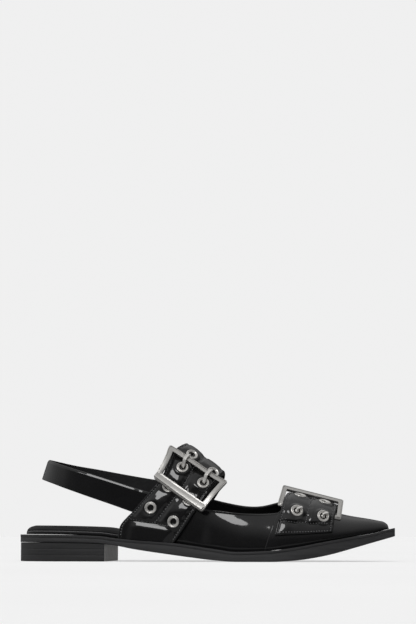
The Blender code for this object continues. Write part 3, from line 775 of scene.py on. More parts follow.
def polished_look(name, colours):
    """Polished nickel of the eyelets and prongs: brighter and smoother, with faint wear."""
    look, tree, shader, place = new_look(name, roughness=0.22, metallic=1.0)
    wear = noise(tree, place, scale=700.0, detail=3.0)
    tone = mottle(tree, wear, colours.metal, 1.3, 1.55)
    rub = bump(tree, wear, strength=0.06, distance=0.0001)
    join(tree, shader, Base_Color=tone, Roughness=between(tree, wear, 0.26, 0.36), Normal=rub)
    return look


def thread_look(name, colours):
    """Waxed thread: fine fibres with a soft gloss; on the footbed's cord the lighter thread colour also
    paints a highlight line.
    """
    look, tree, shader, place = new_look(name, roughness=0.38, Sheen_Weight=0.2)
    fibres = noise(tree, place, scale=2600.0, detail=1.0)
    tone = mottle(tree, fibres, colours.thread, 0.6, 1.4)
    join(tree, shader, Base_Color=tone, Normal=bump(tree, fibres, strength=0.4, distance=0.0002))
    return look


def leathers(colours):
    """Patent leather for the outer faces and lining for the inner ones."""
    return [shared(patent_look, colours), shared(lining_look, colours)]


def floor_look(name, colours):
    """Pale lit paper sweep with a trace of tone, dimmer where glossy surfaces mirror it."""
    look, tree, shader, place = new_look(name, roughness=0.95, Specular_IOR_Level=0.0,
                                         Emission_Strength=FLOOR_GLOW)
    tone = mottle(tree, noise(tree, place, scale=3.0), colours.floor, 0.99, 1.01)
    mirrored = add(tree, "ShaderNodeLightPath").outputs["Is Glossy Ray"]
    dim = add(tree, "ShaderNodeMapRange", Value=mirrored, To_Min=1.0, To_Max=FLOOR_MIRRORED)
    scaled = add(tree, "ShaderNodeVectorMath", {"operation": "SCALE"}, Vector=tone,
                 Scale=dim.outputs["Result"])
    toned = scaled.outputs["Vector"]
    join(tree, shader, Base_Color=toned, Emission_Color=toned)
    return look


def outline_rings(x, inset, levels):
    """Rings of a piece that follows the sole: each level is a draw-in and a height at every x."""
    sides = []
    for side, sign, order in (("outer", -1.0, levels), ("inner", 1.0, reversed(levels))):
        half = sole_half(x, side, inset)
        for draw, height in order:
            place = sign * np.maximum(half - draw, NARROWEST * half)
            sides.append(np.stack(np.broadcast_arrays(x, place, height), axis=-1))
    return np.stack(sides, axis=1)


def stations(start, end, bend_count, run_count, tip_count=2):
    """Places along x: cosine steps where the heel turns, then even steps, then the toe's corner."""
    share = 1.0 - np.cos(np.linspace(0.0, HALF_TURN, bend_count))
    bend = start + (HEEL_BACK_X + HEEL_RADIUS - start) * share
    run = np.linspace(bend[-1], end - TOE_CORNER, run_count)
    tip = np.linspace(end - TOE_CORNER, end, tip_count)
    return np.concatenate((bend, run[1:], tip[1:]))


def edge_arc(radius, count=5):
    """Draw-in and drop of points round a rounded edge, from its side to its flat: a quarter circle."""
    angle = np.linspace(0.0, HALF_TURN, count)
    return zip(radius * (1.0 - np.cos(angle)), radius * (1.0 - np.sin(angle)))


def make_sole(colours):
    """Outsole and heel: the outline of the sole at every x, with rounded edges, welt and stack lines."""
    x = stations(HEEL_BACK_X, TOE_X, bend_count=41, run_count=181, tip_count=12)
    top = through(SOLE, "x", "top", x)
    bottom = through(SOLE, "x", "bottom", x)
    levels = [(WELT_GROOVE + draw, bottom + drop) for draw, drop in edge_arc(SOLE_EDGE)][::-1]
    levels += [(draw, top - WELT_THICKNESS + rise) for draw, rise in WELT_SIDE]
    levels += [(draw, top - drop) for draw, drop in edge_arc(WELT_EDGE)]
    looks = [rubber_look("sole_rubber", colours.sole, SOLE_STREAK)]
    sole = skin("sole_body", outline_rings(x, 0.0, levels), looks)
    settle(sole, "sole_rubber", "outsole")

    x = stations(HEEL_BACK_X + HEEL_INSET, HEEL_BREAST_X, bend_count=41, run_count=21)
    floor = np.zeros_like(x)
    levels = [(draw, floor + drop) for draw, drop in edge_arc(HEEL_EDGE)][::-1]
    steps = np.linspace(-HEEL_LINE_SPAN, HEEL_LINE_SPAN, 9)
    for layer in (1, 2):
        line = floor + HEEL_LAYER * layer
        levels += [(HEEL_LINE * bell(step / HEEL_LINE_WIDTH), line + step) for step in steps]
    levels.append((0.0, through(SOLE, "x", "bottom", x) - GAP))
    looks = [rubber_look("heel_stack", colours.heel, HEEL_STREAK),
             rubber_look("heel_breast", colours.breast, BREAST_STREAK, BREAST_GLOSS)]
    heel = skin("heel_stack", outline_rings(x, HEEL_INSET, levels), looks, end=1)
    settle(heel, "heel_stack", "heel")


def make_insole(colours):
    """Footbed: a low rand with a rounded lip, a crease, then a padded top that dips to the middle."""
    x = stations(INSOLE[0].x, INSOLE[-1].x, bend_count=41, run_count=141)
    inset = INSOLE[0].inset
    draw = through(INSOLE, "x", "inset", x) - inset
    thick = through(INSOLE, "x", "thick", x)
    bed = through(SOLE, "x", "top", x) + GAP
    sides = [(draw + thick * row.reach, bed + thick * row.level) for row in INSOLE_SIDE]
    rings = outline_rings(x, inset, sides)
    count = len(sides)
    share = np.linspace(0.0, 1.0, 31)[1:-1, None]
    edge, far = rings[:, count - 1], rings[:, count]
    across = edge[:, None] + (far - edge)[:, None] * share
    dip = np.sin(math.pi * share[:, 0]) ** DISH_POWER
    across[..., 2] -= INSOLE_DISH * (thick / thick.max())[:, None] * dip
    rings = np.concatenate((rings[:, :count], across, rings[:, count:]), axis=1)
    column = np.arange(rings.shape[1])
    # Painted highlight: the cord's faces on the rand's lip take the lighter thread look, which stands in
    # for the light line along the footbed's edge
    cord_highlight = np.isin(np.minimum(column, len(column) - 2 - column), INSOLE_CORD_HIGHLIGHT)
    looks = [shared(insole_look, colours), shared(thread_look, colours)]
    pad = skin("insole_pad", rings, looks, second=cord_highlight)
    settle(pad, "insole_lining", "insole", fill=0.8)


def fold_lift(points, folds):
    """Soft folds: each one's height times a bell of the distance from its line."""
    total = np.zeros(points.shape[:-1])
    for fold in folds:
        start = last_point(fold.x, fold.turn)
        way = last_point(fold.end_x, fold.end_turn) - start
        t = np.clip((points - start) @ way / (way @ way), 0.0, 1.0)
        away = np.linalg.norm(points - start - t[..., None] * way, axis=-1)
        total += fold.height * bell(away / fold.width)
    return total


def upper_columns(end):
    """Foot place and turn, share of the opening and step of the lap, from the back edge to the toe."""
    quarter = np.linspace(0.0, 1.0, 96)
    lap = np.linspace(0.0, 1.0, 8)[1:-1]
    vamp = np.linspace(0.0, 1.0, 120)
    tip = np.linspace(0.0, 1.0, 17)[1:]
    seam_back, seam_front = SEAM_X - SEAM_RAMP, SEAM_X + SEAM_RAMP
    foot_x = np.concatenate((QUARTER_BACK_X + (seam_back - QUARTER_BACK_X) * quarter,
                             seam_back + (seam_front - seam_back) * lap,
                             seam_front + (end - seam_front) * vamp, np.full(len(tip), end)))
    foot_turn = np.concatenate((np.zeros(len(foot_x) - len(tip)), tip * HALF_TURN))
    seam_share = SEAM_SHARE - SEAM_LAP
    share = np.concatenate((seam_share * quarter,
                            seam_share + SEAM_LAP * lap,
                            SEAM_SHARE + (TIP_SHARE - SEAM_SHARE) * vamp,
                            TIP_SHARE + (1.0 - TIP_SHARE) * tip))
    step = np.concatenate((0.0 * quarter, quarter_round(lap, 1.0), 0.0 * vamp + 1.0, 0.0 * tip + 1.0))
    return foot_x, foot_turn, share, step


def upper_sheet(end, shape):
    """Grid of the upper on both sides: straight runs on the last from the feather edge to the opening."""
    foot_x, foot_turn, share, step = upper_columns(end)
    s = np.linspace(0.0, 1.0, UPPER_ROWS)
    up = s - ROW_CROWDING * np.sin(2.0 * math.pi * s)
    x = foot_x[:, None] + (through(TOPLINE, "share", "x", share) - foot_x)[:, None] * up
    halves = []
    for side in ("outer", "inner"):
        edge_turn = np.arcsin(np.clip(through(TOPLINE, "share", side, share), 0.0, 1.0))
        turn = foot_turn[:, None] + (edge_turn - foot_turn)[:, None] * up
        turn = turn if side == "outer" else math.pi - turn
        halves.append(last_point(x, turn, shape(last_point(x, turn), step[:, None])))
    return np.concatenate((halves[0], halves[1][-2::-1]))


def make_upper(sizes, colours):
    """Vamp and quarters: a lapped seam, tucked feather edge, beaded opening and soft folds outside."""
    bead = sizes.topline_bead / MM

    def outside(points, step):
        """Lift of the outer face: lap, folds and bead, less the tuck, rounded off at the opening."""
        run = run_length(points.transpose(1, 0, 2)).T
        from_edge = run[:, -1:] - run
        rounded = quarter_round(from_edge, TOPLINE_ROUND)
        lift = VAMP_LIFT * step + fold_lift(points, UPPER_FOLDS)
        lift = lift + bead * bell((from_edge - TOPLINE_ROUND) / TOPLINE_ROUND)
        lift = lift - TUCK * bell(run / TUCK_HEIGHT)
        return (lift + WALL / 2.0) * rounded - WALL / 2.0

    def inside(points, _):
        """Lift of the inner face: the wall's thickness inwards, rounded off at the opening."""
        run = run_length(points.transpose(1, 0, 2)).T
        return -WALL / 2.0 - WALL / 2.0 * quarter_round(run[:, -1:] - run, TOPLINE_ROUND)

    outer = upper_sheet(LAST_TIP + VAMP_LIFT, outside)
    inner = upper_sheet(LAST_TIP - WALL, inside)
    rings = np.concatenate((outer, inner[:, ::-1]), axis=1)
    upper = skin("vamp_and_quarters", rings, leathers(colours), second=lined(2 * UPPER_ROWS, UPPER_ROWS))
    settle(upper, "patent_leather", "upper")


def eyelet_seat(strap, turn, share):
    """Centre and axes of an eyelet that rests on the highest point of the strap's solid under its rim."""
    size = strap.size

    def face(at_turn, at_share):
        """Point on the solid's outer face: its underside, base and padding added up."""
        lift = strap_under(strap, at_turn, at_share) + size.base + pad_height(size, at_turn, at_share)
        return last_point(strap_x(strap.edges, at_turn, at_share), at_turn, lift)

    nudge = 0.02
    centre = face(turn, share)
    across = (face(turn, share + nudge) - face(turn, share - nudge)) / (2.0 * nudge)
    along = (face(turn + nudge, share) - face(turn - nudge, share)) / (2.0 * nudge)
    up = unit(np.cross(across, along))
    angle = np.linspace(0.0, 2.0 * math.pi, 12)
    rim = face(turn + EYELET_RADIUS * np.sin(angle) / np.linalg.norm(along),
               share + EYELET_RADIUS * np.cos(angle) / np.linalg.norm(across))
    centre = centre + up * (max(0.0, np.max((rim - centre) @ up)) + GAP)
    x_axis = unit(across)
    return centre, x_axis, np.cross(up, x_axis), up


def eyelet_seats(strap):
    """Names and seats of a strap's eyelets, pair by pair."""
    seats = {}
    for n, pair in enumerate(strap.eyelets, start=1):
        for side, spot in zip(pair._fields, pair):
            seats[f"{strap.name}_eyelet_{side}_{n}"] = eyelet_seat(strap, *spot)
    return seats


def strap_run(strap, turn):
    """Length along the middle of a strap at a turn, from its outer end."""
    fine = np.linspace(strap.size.start, math.pi - strap.size.start, 400)
    line = last_point(strap_x(strap.edges, fine, 0.5), fine, strap.size.lift + strap.size.base)
    return np.interp(turn, fine, run_length(line))


def strap_width(strap, turn):
    """Straight distance between a strap's two edges at a turn."""
    ends = [last_point(strap_x(strap.edges, turn, share), turn, strap.size.lift) for share in (0.0, 1.0)]
    return np.linalg.norm(ends[1] - ends[0], axis=-1)


def pulls(run, away):
    """Little pulls beside a stitched line: an uneven wave along it that dies off away from it."""
    drift = sum(size * np.sin(run / slow) for size, slow in PULL_DRIFTS)
    wave = np.cos(2.0 * math.pi * run / PULL_STEP + drift)
    return (0.5 + 0.5 * wave) * np.exp(-away / PULL_REACH)


def strap_lifts(strap, turn, share, sizes):
    """Lifts of a strap's two faces: padding crowned across each column, swollen beside the bars, drawn
    in along the stitched lines, stood off in a skirt below the padding and tilted in soft facets; both
    faces are rounded together at the edges."""
    size = strap.size
    width = strap_width(strap, turn)
    run = strap_run(strap, turn)
    middle = np.minimum(share, 1.0 - share)
    low, high = COLUMN_EDGES
    crown = np.sin(math.pi * np.clip((middle - low) / (high - low), 0.0, 1.0))
    swell = sum(bell((abs(turn - bar) - SWELL_AWAY) / SWELL_WIDTH) for bar in size.bars)
    filled = ease((np.sin(turn) - size.pad_start) / PAD_END)
    puff = sizes.pad_crown / MM * (crown - CROWN_BASE) + SWELL * size.pad * swell
    pad = pad_height(size, turn, share) + filled * crown * puff
    ends = [strap_run(strap, at) for at in pad_turns(strap)]
    inset = sizes.stitch_inset / MM
    from_edge = middle * width
    from_line = np.minimum(abs(from_edge - inset), abs(share - 0.5) * width)
    padded = ease((run - ends[0]) / PAD_RAMP) * ease((ends[1] - run) / PAD_RAMP)
    from_end = np.minimum(abs(run - ends[0]), abs(run - ends[1]))
    groove = bell((from_edge - inset) / EDGE_GROOVE_WIDTH)
    groove = groove + padded * bell((share - 0.5) * width / ROW_GROOVE_WIDTH)
    end_row = bell(from_end / ROW_GROOVE_WIDTH) * ease((from_edge - ROW_START) / ROW_EASE)
    groove = np.maximum(groove, end_row)
    pad = pad - STITCH_GROOVE * groove - sizes.pull_depth / MM * padded * pulls(run, from_line)
    below = np.clip(np.maximum(ends[0] - run, run - ends[1]) / SKIRT_RUN, 0.0, 1.0)
    within = ease((share * width - SKIRT_INSET[0]) / SKIRT_EASE)
    within = within * ease(((1.0 - share) * width - SKIRT_INSET[1]) / SKIRT_EASE)
    pad = pad + strap.skirt * (below * within + FLARE * np.clip(1.0 - run / FLARE_RUN, 0.0, 1.0))
    for facet in strap.facets:
        along = run - strap_run(strap, facet.turn)
        across = (share - facet.share) * width
        tilt = facet.across * across + facet.along * along
        pad = pad + tilt * bell(np.hypot(along, across) / facet.spread)
    rounded = quarter_round(from_edge, STRAP_ROUND)
    if size.start > 0.0:
        to_end = np.minimum(run, strap_run(strap, math.pi - size.start) - run)
        rounded = np.minimum(rounded, quarter_round(to_end, STRAP_ROUND))
    under = strap_under(strap, turn, share)
    half = (size.base + pad) / 2.0
    return under + half * (1.0 - rounded), under + half * (1.0 + rounded)


def strap_face(strap, turn, share, sizes):
    """Outer face of a strap, pressed flat under each eyelet and sunk inside its hole."""
    turn, share = np.broadcast_arrays(np.asarray(turn, float), np.asarray(share, float))
    points = last_point(strap_x(strap.edges, turn, share), turn, strap_lifts(strap, turn, share, sizes)[1])
    for centre, _, _, up in eyelet_seats(strap).values():
        way = points - centre
        height = way @ up
        radial = np.linalg.norm(way - height[..., None] * up, axis=-1)
        near = abs(height) < SEAT_DEPTH
        flat = (1.0 - ease((radial - EYELET_RADIUS) / SEAT_FADE)) * (height + SEAT_SINK)
        sunk = EYELET_PIT * ease((EYELET_HOLE - radial) / EYELET_HOLE_EASE)
        points = points - (near * (flat + sunk))[..., None] * up
    return points


def pad_turns(strap):
    """Turns at which a strap's padding is sewn off, outside and inside: the arcsine of the height there."""
    low = math.asin(strap.size.pad_start)
    return low, math.pi - low


def make_straps(sizes, colours):
    """Both padded straps: the outer face over a flat underside, closed round edges and ends."""
    fine = np.array(EDGE_SHARES)
    share = np.concatenate((fine, np.linspace(0.025, 0.975, 115), 1.0 - fine[::-1]))[None, :]
    for strap in (INSTEP_STRAP, TOE_STRAP):
        size = strap.size
        turn = np.linspace(size.start, math.pi - size.start, strap.rows)[:, None]
        outside = strap_face(strap, turn, share, sizes)
        grid = np.broadcast_arrays(turn, share)
        inside = last_point(strap_x(strap.edges, turn, share), turn, strap_lifts(strap, *grid, sizes)[0])
        rings = np.concatenate((outside, inside[:, ::-1]), axis=1)
        lining = lined(2 * share.size, share.size, LINED_EDGE)
        piece = skin(f"{strap.name}_strap_padded", rings, leathers(colours), second=lining)
        settle(piece, "patent_leather", f"{strap.name}_strap", fill=0.7)


def stitch_places(strap, turn, share, sizes):
    """Middles, directions and normals of stitches at an even pitch along a line on a strap's face."""
    length = run_length(strap_face(strap, turn, share, sizes))
    pitch = sizes.stitch_pitch / MM
    at = (np.arange(int(length[-1] / pitch)) + 0.5) * pitch
    turn_at, share_at = (np.interp(at, length, line) for line in (turn, share))
    ahead_turn, ahead_share = (np.interp(at + STITCH_AHEAD * pitch, length, line) for line in (turn, share))
    middle = strap_face(strap, turn_at, share_at, sizes)
    ahead = unit(strap_face(strap, ahead_turn, ahead_share, sizes) - middle)
    x = strap_x(strap.edges, turn_at, share_at)
    up = lift_direction(x, turn_at, strap.size.lift + strap.size.base)
    return middle, ahead, unit(up - np.sum(up * ahead, axis=-1, keepdims=True) * ahead)


def make_stitches(sizes, colours):
    """Stitches: one small spindle, bowed so that its ends dive into the leather, at every place."""
    half = sizes.stitch_pitch / MM * STITCH_HALF
    thick = sizes.stitch_thickness / MM / 2.0
    inset = sizes.stitch_inset / MM
    t = np.linspace(-STITCH_END, STITCH_END, STITCH_RINGS)[:, None]
    angle = np.linspace(0.0, 2.0 * math.pi, STITCH_SIDES, endpoint=False)[None, :]
    radius = thick * np.sqrt(1.0 - t ** 6)
    along = half * t + 0.0 * angle
    over = radius * np.cos(angle) + 0.0 * t
    up = thick * (STITCH_BULGE - STITCH_DIVE * t ** 2) + radius * np.sin(angle)
    single = ring_faces(STITCH_RINGS, STITCH_SIDES, False)
    row = np.linspace(ROW_MARGIN, 1.0 - ROW_MARGIN, 80)
    for strap in (INSTEP_STRAP, TOE_STRAP):
        start = strap.size.start
        turn = np.linspace(start + LINE_MARGIN, math.pi - start - LINE_MARGIN, 500)
        edge = inset / strap_width(strap, turn)
        low, high = pad_turns(strap)
        padded = np.linspace(low, high, 300)
        lines = [(turn, edge), (turn, 1.0 - edge), (padded, np.full_like(padded, 0.5))]
        ends = [low, high]
        if start > 0.0:
            fine = np.linspace(start, math.pi - start, 400)
            end = np.interp(inset * END_ROW, strap_run(strap, fine), fine)
            ends += [end, math.pi - end]
        lines += [(np.full_like(row, end), row) for end in ends]
        places = [stitch_places(strap, *line, sizes) for line in lines]
        middle, ahead, off = (np.concatenate(parts)[:, None, None, :] for parts in zip(*places))
        points = middle + ahead * along[..., None] + off * up[..., None]
        points = points + np.cross(ahead, off) * over[..., None]
        first = STITCH_RINGS * STITCH_SIDES * np.arange(len(middle))
        faces = (single + first[:, None, None]).reshape(-1, 4)
        looks = [shared(thread_look, colours)]
        piece = mesh_piece(f"{strap.name}_strap_stitches", points.reshape(-1, 3), faces, looks)
        settle(piece, "patent_leather")


def make_sling(colours):
    """Band round the heel: a flat section whose outer face eases in towards its top edge, carried
    along a curve through the table's points."""
    rows = [(row.x, -row.outer, row.outer_height, row.width, row.lean) for row in SLING]
    rows += [(row.x, row.inner, row.inner_height, row.width, row.lean) for row in SLING[-2::-1]]
    knots = np.array(rows)
    run = run_length(knots[:, :3])
    slope = np.gradient(knots, run, axis=0)
    path = cubic(run, knots.T, slope.T, np.linspace(0.0, run[-1], 241)).T
    ahead = np.gradient(path[:, :2], axis=0)
    out = unit(np.stack((-ahead[:, 1], ahead[:, 0]), axis=1))[:, None]
    half = SLING_THICKNESS / 2.0
    level = np.cos(np.linspace(0.0, math.pi, 61))
    tall = path[:, 3, None] / 2.0
    rise = level * tall
    top, low = tall - rise, tall + rise
    rounded = np.minimum(quarter_round(top, SLING_TOP_ROUND), quarter_round(low, SLING_LOW_ROUND))
    taper = SLING_TAPER * np.clip(1.0 - top / SLING_TAPER_HEIGHT, 0.0, 1.0)
    lean = path[:, 4, None] * rise / tall
    faces = []
    for across in (half * rounded - taper - lean, -half * rounded - lean):
        flat = path[:, None, :2] + out * across[..., None]
        faces.append(np.concatenate((flat, (path[:, 2, None] + rise)[..., None]), axis=-1))
    outside, inside = faces
    rings = np.concatenate((outside, inside[:, ::-1]), axis=1)
    band = skin("sling_band", rings, leathers(colours), second=lined(2 * level.size, level.size))
    settle(band, "patent_leather", "sling_strap")


def section_angles():
    """Even angles round a section, none of them on an axis: half a step, then whole steps."""
    return (np.arange(SECTION_POINTS) + 0.5) * 2.0 * math.pi / SECTION_POINTS


def round_corner(size, corner, wave):
    """Places on a rounded rectangle along one axis: half the side less the corner, and the corner's arc."""
    return np.sign(wave) * (size / 2.0 - corner) + corner * wave


def sideways(path, up):
    """Directions across a path that lies under the given upward directions."""
    return unit(np.cross(np.gradient(path, axis=0), up))


def bar_rings(path, out, up, wide, thick, corner):
    """Rounded rectangle carried along an open path, across it and up from it."""
    angle = section_angles()
    across = round_corner(wide[:, None], corner[:, None], np.cos(angle))
    level = round_corner(thick[:, None], corner[:, None], np.sin(angle))
    return path[:, None] + out[:, None] * across[..., None] + up[:, None] * level[..., None]


def frame_outline(size, reach, radius):
    """Shares of width and height round a rectangle with rounded corners that reaches past that size."""
    signs = np.array(((1.0, -1.0), (1.0, 1.0), (-1.0, 1.0), (-1.0, -1.0)))
    centres = size / 2.0 + signs * (size / 2.0 + reach - radius)
    side = np.linspace(0.0, 1.0, 26)[1:-1, None]
    loop = []
    for n in range(4):
        bend = np.linspace(n - 1.0, n, 9) * HALF_TURN
        arc = centres[n] + radius * np.stack((np.cos(bend), np.sin(bend)), axis=1)
        way = n * HALF_TURN
        goal = centres[(n + 1) % 4] + radius * np.array((math.cos(way), math.sin(way)))
        loop += [arc, arc[-1] + (goal - arc[-1]) * side]
    return np.concatenate(loop) / size


def frame_rings(strap, size):
    """Frame between two rounded rectangles, blended from its four corners; a laid bar follows the last,
    and a line is cut in the face along the outer edge."""
    spots = np.array((size.low_back, size.low_front, size.high_back, size.high_front))
    turn, share, lift, _ = spots.T
    places = last_point(strap_x(strap.edges, turn, share), turn, lift)
    along, above = places[1] - places[0], places[2] - places[0]
    up = unit(np.cross(along, above))
    spread = np.array((np.linalg.norm(along), np.linalg.norm(above)))
    half = np.array((size.side, size.bar)) / 2.0
    outer = frame_outline(spread, half, OUTER_CORNER)[:, None]
    inner = frame_outline(spread, -half, INNER_CORNER)[:, None]
    from_edge, cut = np.array(FRAME_LINE).T
    top = np.full(len(cut), SECTION_POINTS // 4)
    angle = section_angles()
    across = np.insert(round_corner(size.bar, FRAME_ROUND, np.cos(angle)), top, size.bar / 2.0 - from_edge)
    over, rise = np.moveaxis(outer + (inner - outer) * (0.5 - across / size.bar)[:, None], -1, 0)
    back, low = 1.0 - over, 1.0 - rise
    mixes = np.stack((back * low, over * low, back * rise, over * rise), axis=-1)
    turn, share, lift, thick = np.moveaxis(mixes @ spots, -1, 0)
    path = mixes @ places
    on_last = last_point(strap_x(strap.edges, turn, share), turn, lift)
    path = path + (on_last - path) * (1.0 - ease(rise / size.laid))[..., None]
    corner = np.minimum(FRAME_ROUND, THIN_CORNER * thick)
    level = round_corner(thick, corner, np.insert(np.sin(angle), top, 1.0))
    level = level - np.insert(np.zeros(SECTION_POINTS), top, cut)
    return path + up * level[..., None]


def make_buckles(colours):
    """Both frames, the sleeve on a low bar, and the bar under the instep strap that carries its prongs."""
    metal = [shared(metal_look, colours)]
    for strap, size in ((INSTEP_STRAP, INSTEP_BUCKLE), (TOE_STRAP, TOE_BUCKLE)):
        piece = skin(f"{strap.name}_frame", frame_rings(strap, size), metal, looped=True)
        settle(piece, "buckle_metal", f"{strap.name}_buckle")
    over = np.linspace(*SLEEVE_REACH, 40)
    low, front = np.array(INSTEP_BUCKLE.low_back), np.array(INSTEP_BUCKLE.low_front)
    turn, share, lift, thick = (low + (front - low) * over[:, None]).T
    x = strap_x(INSTEP_EDGES, turn, share)
    up = lift_direction(x, turn, lift)
    wide = np.full_like(over, INSTEP_BUCKLE.bar + SLEEVE)
    path = last_point(x, turn, lift + SLEEVE / 2.0)
    rings = bar_rings(path, sideways(path, up), up, wide, thick + SLEEVE, np.full_like(over, FRAME_ROUND))
    settle(skin("instep_frame_sleeve", rings, metal), "buckle_metal")
    knots = np.array((-BAR_BACK, -BAR_BACK, -BAR_TUCK * BAR_BACK, 0.0,
                      1.0, 1.0 + BAR_TUCK * BAR_FRONT, 1.0 + BAR_FRONT, 1.0 + BAR_FRONT))
    rises = np.array((BAR_END_LIFT, BAR_EASE * BAR_END_LIFT, BAR_EASE * BAR_DROP, BAR_DROP))
    order = np.arange(len(knots))
    steps = np.linspace(0.0, order[-1], 64)
    share = np.interp(steps, order, knots)
    lift = np.interp(steps, order, np.concatenate((rises, rises[::-1])))
    turn = np.full_like(steps, BAR_TURN)
    x = strap_x(INSTEP_EDGES, turn, share)
    size = np.full_like(steps, 2.0 * BAR_RADIUS)
    path = last_point(x, turn, lift)
    nudge = 0.01
    down = unit(last_point(x, turn - nudge, lift) - last_point(x, turn + nudge, lift))
    up = unit(np.cross(down, np.gradient(path, axis=0)))
    rings = bar_rings(path, down, up, size, size, 0.5 * size)
    settle(skin("instep_hinge_bar", rings, metal), "buckle_metal", "instep_buckle_bar")


def make_prongs(colours):
    """Prongs: a slightly flat wire along a curve of lifts, its far end rounded off."""
    for strap, rows, pair, ends in ((INSTEP_STRAP, INSTEP_PRONG, INSTEP_PRONG_PAIR, INSTEP_PRONG_END),
                                    (TOE_STRAP, TOE_PRONG, TOE_PRONG_PAIR, TOE_PRONG_END)):
        t = np.sin(np.linspace(0.0, HALF_TURN, 41))
        lift = through(rows, "share", "lift", t)
        radius = PRONG_RADIUS * through(rows, "share", "radius", t)
        radius = radius * np.sqrt(1.0 - np.clip((t - PRONG_TIP) / PRONG_TIP_RUN, 0.0, 1.0) ** 2)
        for side, start, end in zip(pair._fields, pair, ends):
            turn = start.turn + (end.turn - start.turn) * t
            x = strap_x(strap.edges, turn, start.share + (end.share - start.share) * t)
            up = lift_direction(x, turn, lift)
            path = last_point(x, turn, lift)
            rings = bar_rings(path, sideways(path, up), up, *(share * radius for share in PRONG_FLAT))
            name = f"{strap.name}_prong_{side}"
            settle(skin(name + "_wire", rings, [shared(polished_look, colours)]), "buckle_metal", name)


def turned(profile, seat):
    """Rings of a profile of reaches and heights, turned about a seat's axis."""
    centre, x_axis, y_axis, up = seat
    reach, height = np.array(profile).T
    angle = np.linspace(0.0, 2.0 * math.pi, 40, endpoint=False)[:, None]
    flat = np.cos(angle)[..., None] * x_axis + np.sin(angle)[..., None] * y_axis
    return centre + flat * reach[:, None] + up * height[:, None]


def make_eyelets(colours):
    """Eyelets: a rolled rim and a short barrel, a closed profile turned about the eyelet's axis; and the
    domed heads of the toe prongs in theirs."""
    for strap in (INSTEP_STRAP, TOE_STRAP):
        for name, seat in eyelet_seats(strap).items():
            look = [shared(polished_look, colours)]
            settle(skin(name + "_rim", turned(EYELET_RIM, seat), look, looped=True), "buckle_metal", name)
    for side, spot in zip(TOE_PRONG_PAIR._fields, TOE_PRONG_PAIR):
        head = turned(PRONG_HEAD, eyelet_seat(TOE_STRAP, *spot)).swapaxes(0, 1)
        settle(skin(f"toe_prong_{side}_head", head, [shared(polished_look, colours)]), "buckle_metal")


def aim(obj, target):
    """Turns a lamp or camera to look at a point."""
    obj.rotation_euler = (Vector(target) - obj.location).to_track_quat("-Z", "Y").to_euler()


def add_softbox(box):
    """Oval soft light that faces a point and only shows mirrored in glossy surfaces."""
    lamp = bpy.data.lights.new(box.name, "AREA")
    lamp.shape = "ELLIPSE"
    lamp.size, lamp.size_y = box.size
    lamp.energy = box.power
    holder = bpy.data.objects.new(box.name, lamp)
    holder.location = box.place
    holder.visible_diffuse = False
    aim(holder, box.target)
    bpy.context.scene.collection.objects.link(holder)


def add_sun(sun, power):
    """Broad even light that brightens matt surfaces and isn't mirrored in glossy ones."""
    lamp = bpy.data.lights.new(sun.name, "SUN")
    lamp.energy = sun.share * power
    lamp.angle = math.radians(sun.spread)
    holder = bpy.data.objects.new(sun.name, lamp)
    holder.rotation_euler = (math.radians(sun.tilt), math.radians(sun.roll), 0.0)
    holder.visible_glossy = False
    bpy.context.scene.collection.objects.link(holder)


def add_floor(colours):
    """Wide square of paper at height zero."""
    corners = FLOOR_HALF * np.array(((-1, -1, 0), (1, -1, 0), (1, 1, 0), (-1, 1, 0)))
    mesh = bpy.data.meshes.new("floor")
    mesh.from_pydata(corners.tolist(), [], [(0, 1, 2, 3)])
    mesh.materials.append(floor_look("pale_floor", colours))
    floor = bpy.data.objects.new("floor", mesh)
    bpy.context.scene.collection.objects.link(floor)


def add_room(stage, colours):
    """Room light, a tone by height and a glow from the left; the camera itself sees plain backdrop."""
    world = bpy.data.worlds.new("studio")
    bpy.context.scene.world = world
    world.use_nodes = True
    tree = world.node_tree
    tree.nodes.clear()
    way = add(tree, "ShaderNodeTexCoord").outputs["Generated"]
    aimed = add(tree, "ShaderNodeSeparateXYZ", Vector=way).outputs
    sky = ramp(tree, aimed["Z"], *((place, (tone, tone, tone)) for place, tone in ROOM_TONES))
    start, end, most = LEFT_GLOW
    glow = add(tree, "ShaderNodeMapRange", Value=aimed["X"], From_Min=start, From_Max=end, To_Max=most)
    white = (1.0, 1.0, 1.0, 1.0)
    room = add(tree, "ShaderNodeAddShader")
    for n, (tone, power) in enumerate(((sky, stage.room_light), (white, glow.outputs["Result"]))):
        light = add(tree, "ShaderNodeBackground", Color=tone, Strength=power)
        tree.links.new(light.outputs["Background"], room.inputs[n])
    paper = add(tree, "ShaderNodeBackground", Color=(*colours.backdrop, 1.0)).outputs["Background"]
    seen = add(tree, "ShaderNodeLightPath").outputs["Is Camera Ray"]
    mix = add(tree, "ShaderNodeMixShader", Fac=seen)
    tree.links.new(room.outputs["Shader"], mix.inputs[1])
    tree.links.new(paper, mix.inputs[2])
    tree.links.new(mix.outputs["Shader"], add(tree, "ShaderNodeOutputWorld").inputs["Surface"])


def add_camera(stage):
    """Low view from the outer side, turned a little and tipped up, at the photograph's scale."""
    lens = bpy.data.cameras.new("camera")
    camera = bpy.data.objects.new("camera", lens)
    turn = math.radians(CAMERA_TURN)
    right = Vector((math.cos(turn), math.sin(turn), 0.0))
    camera.location = Vector((math.sin(turn), -math.cos(turn), 0.0)) * stage.camera_distance
    camera.location.z = stage.camera_height
    centre = Vector((0.0, 0.0, stage.camera_height)) + right * CAMERA_RIGHT + Vector((0.0, 0.0, CAMERA_UP))
    aim(camera, centre)
    lens.sensor_width = SENSOR
    lens.lens = SENSOR * (centre - camera.location).length / (PICTURE_ROWS * PIXEL)
    lens.clip_start = CLIP_START
    bpy.context.scene.collection.objects.link(camera)
    bpy.context.scene.camera = camera


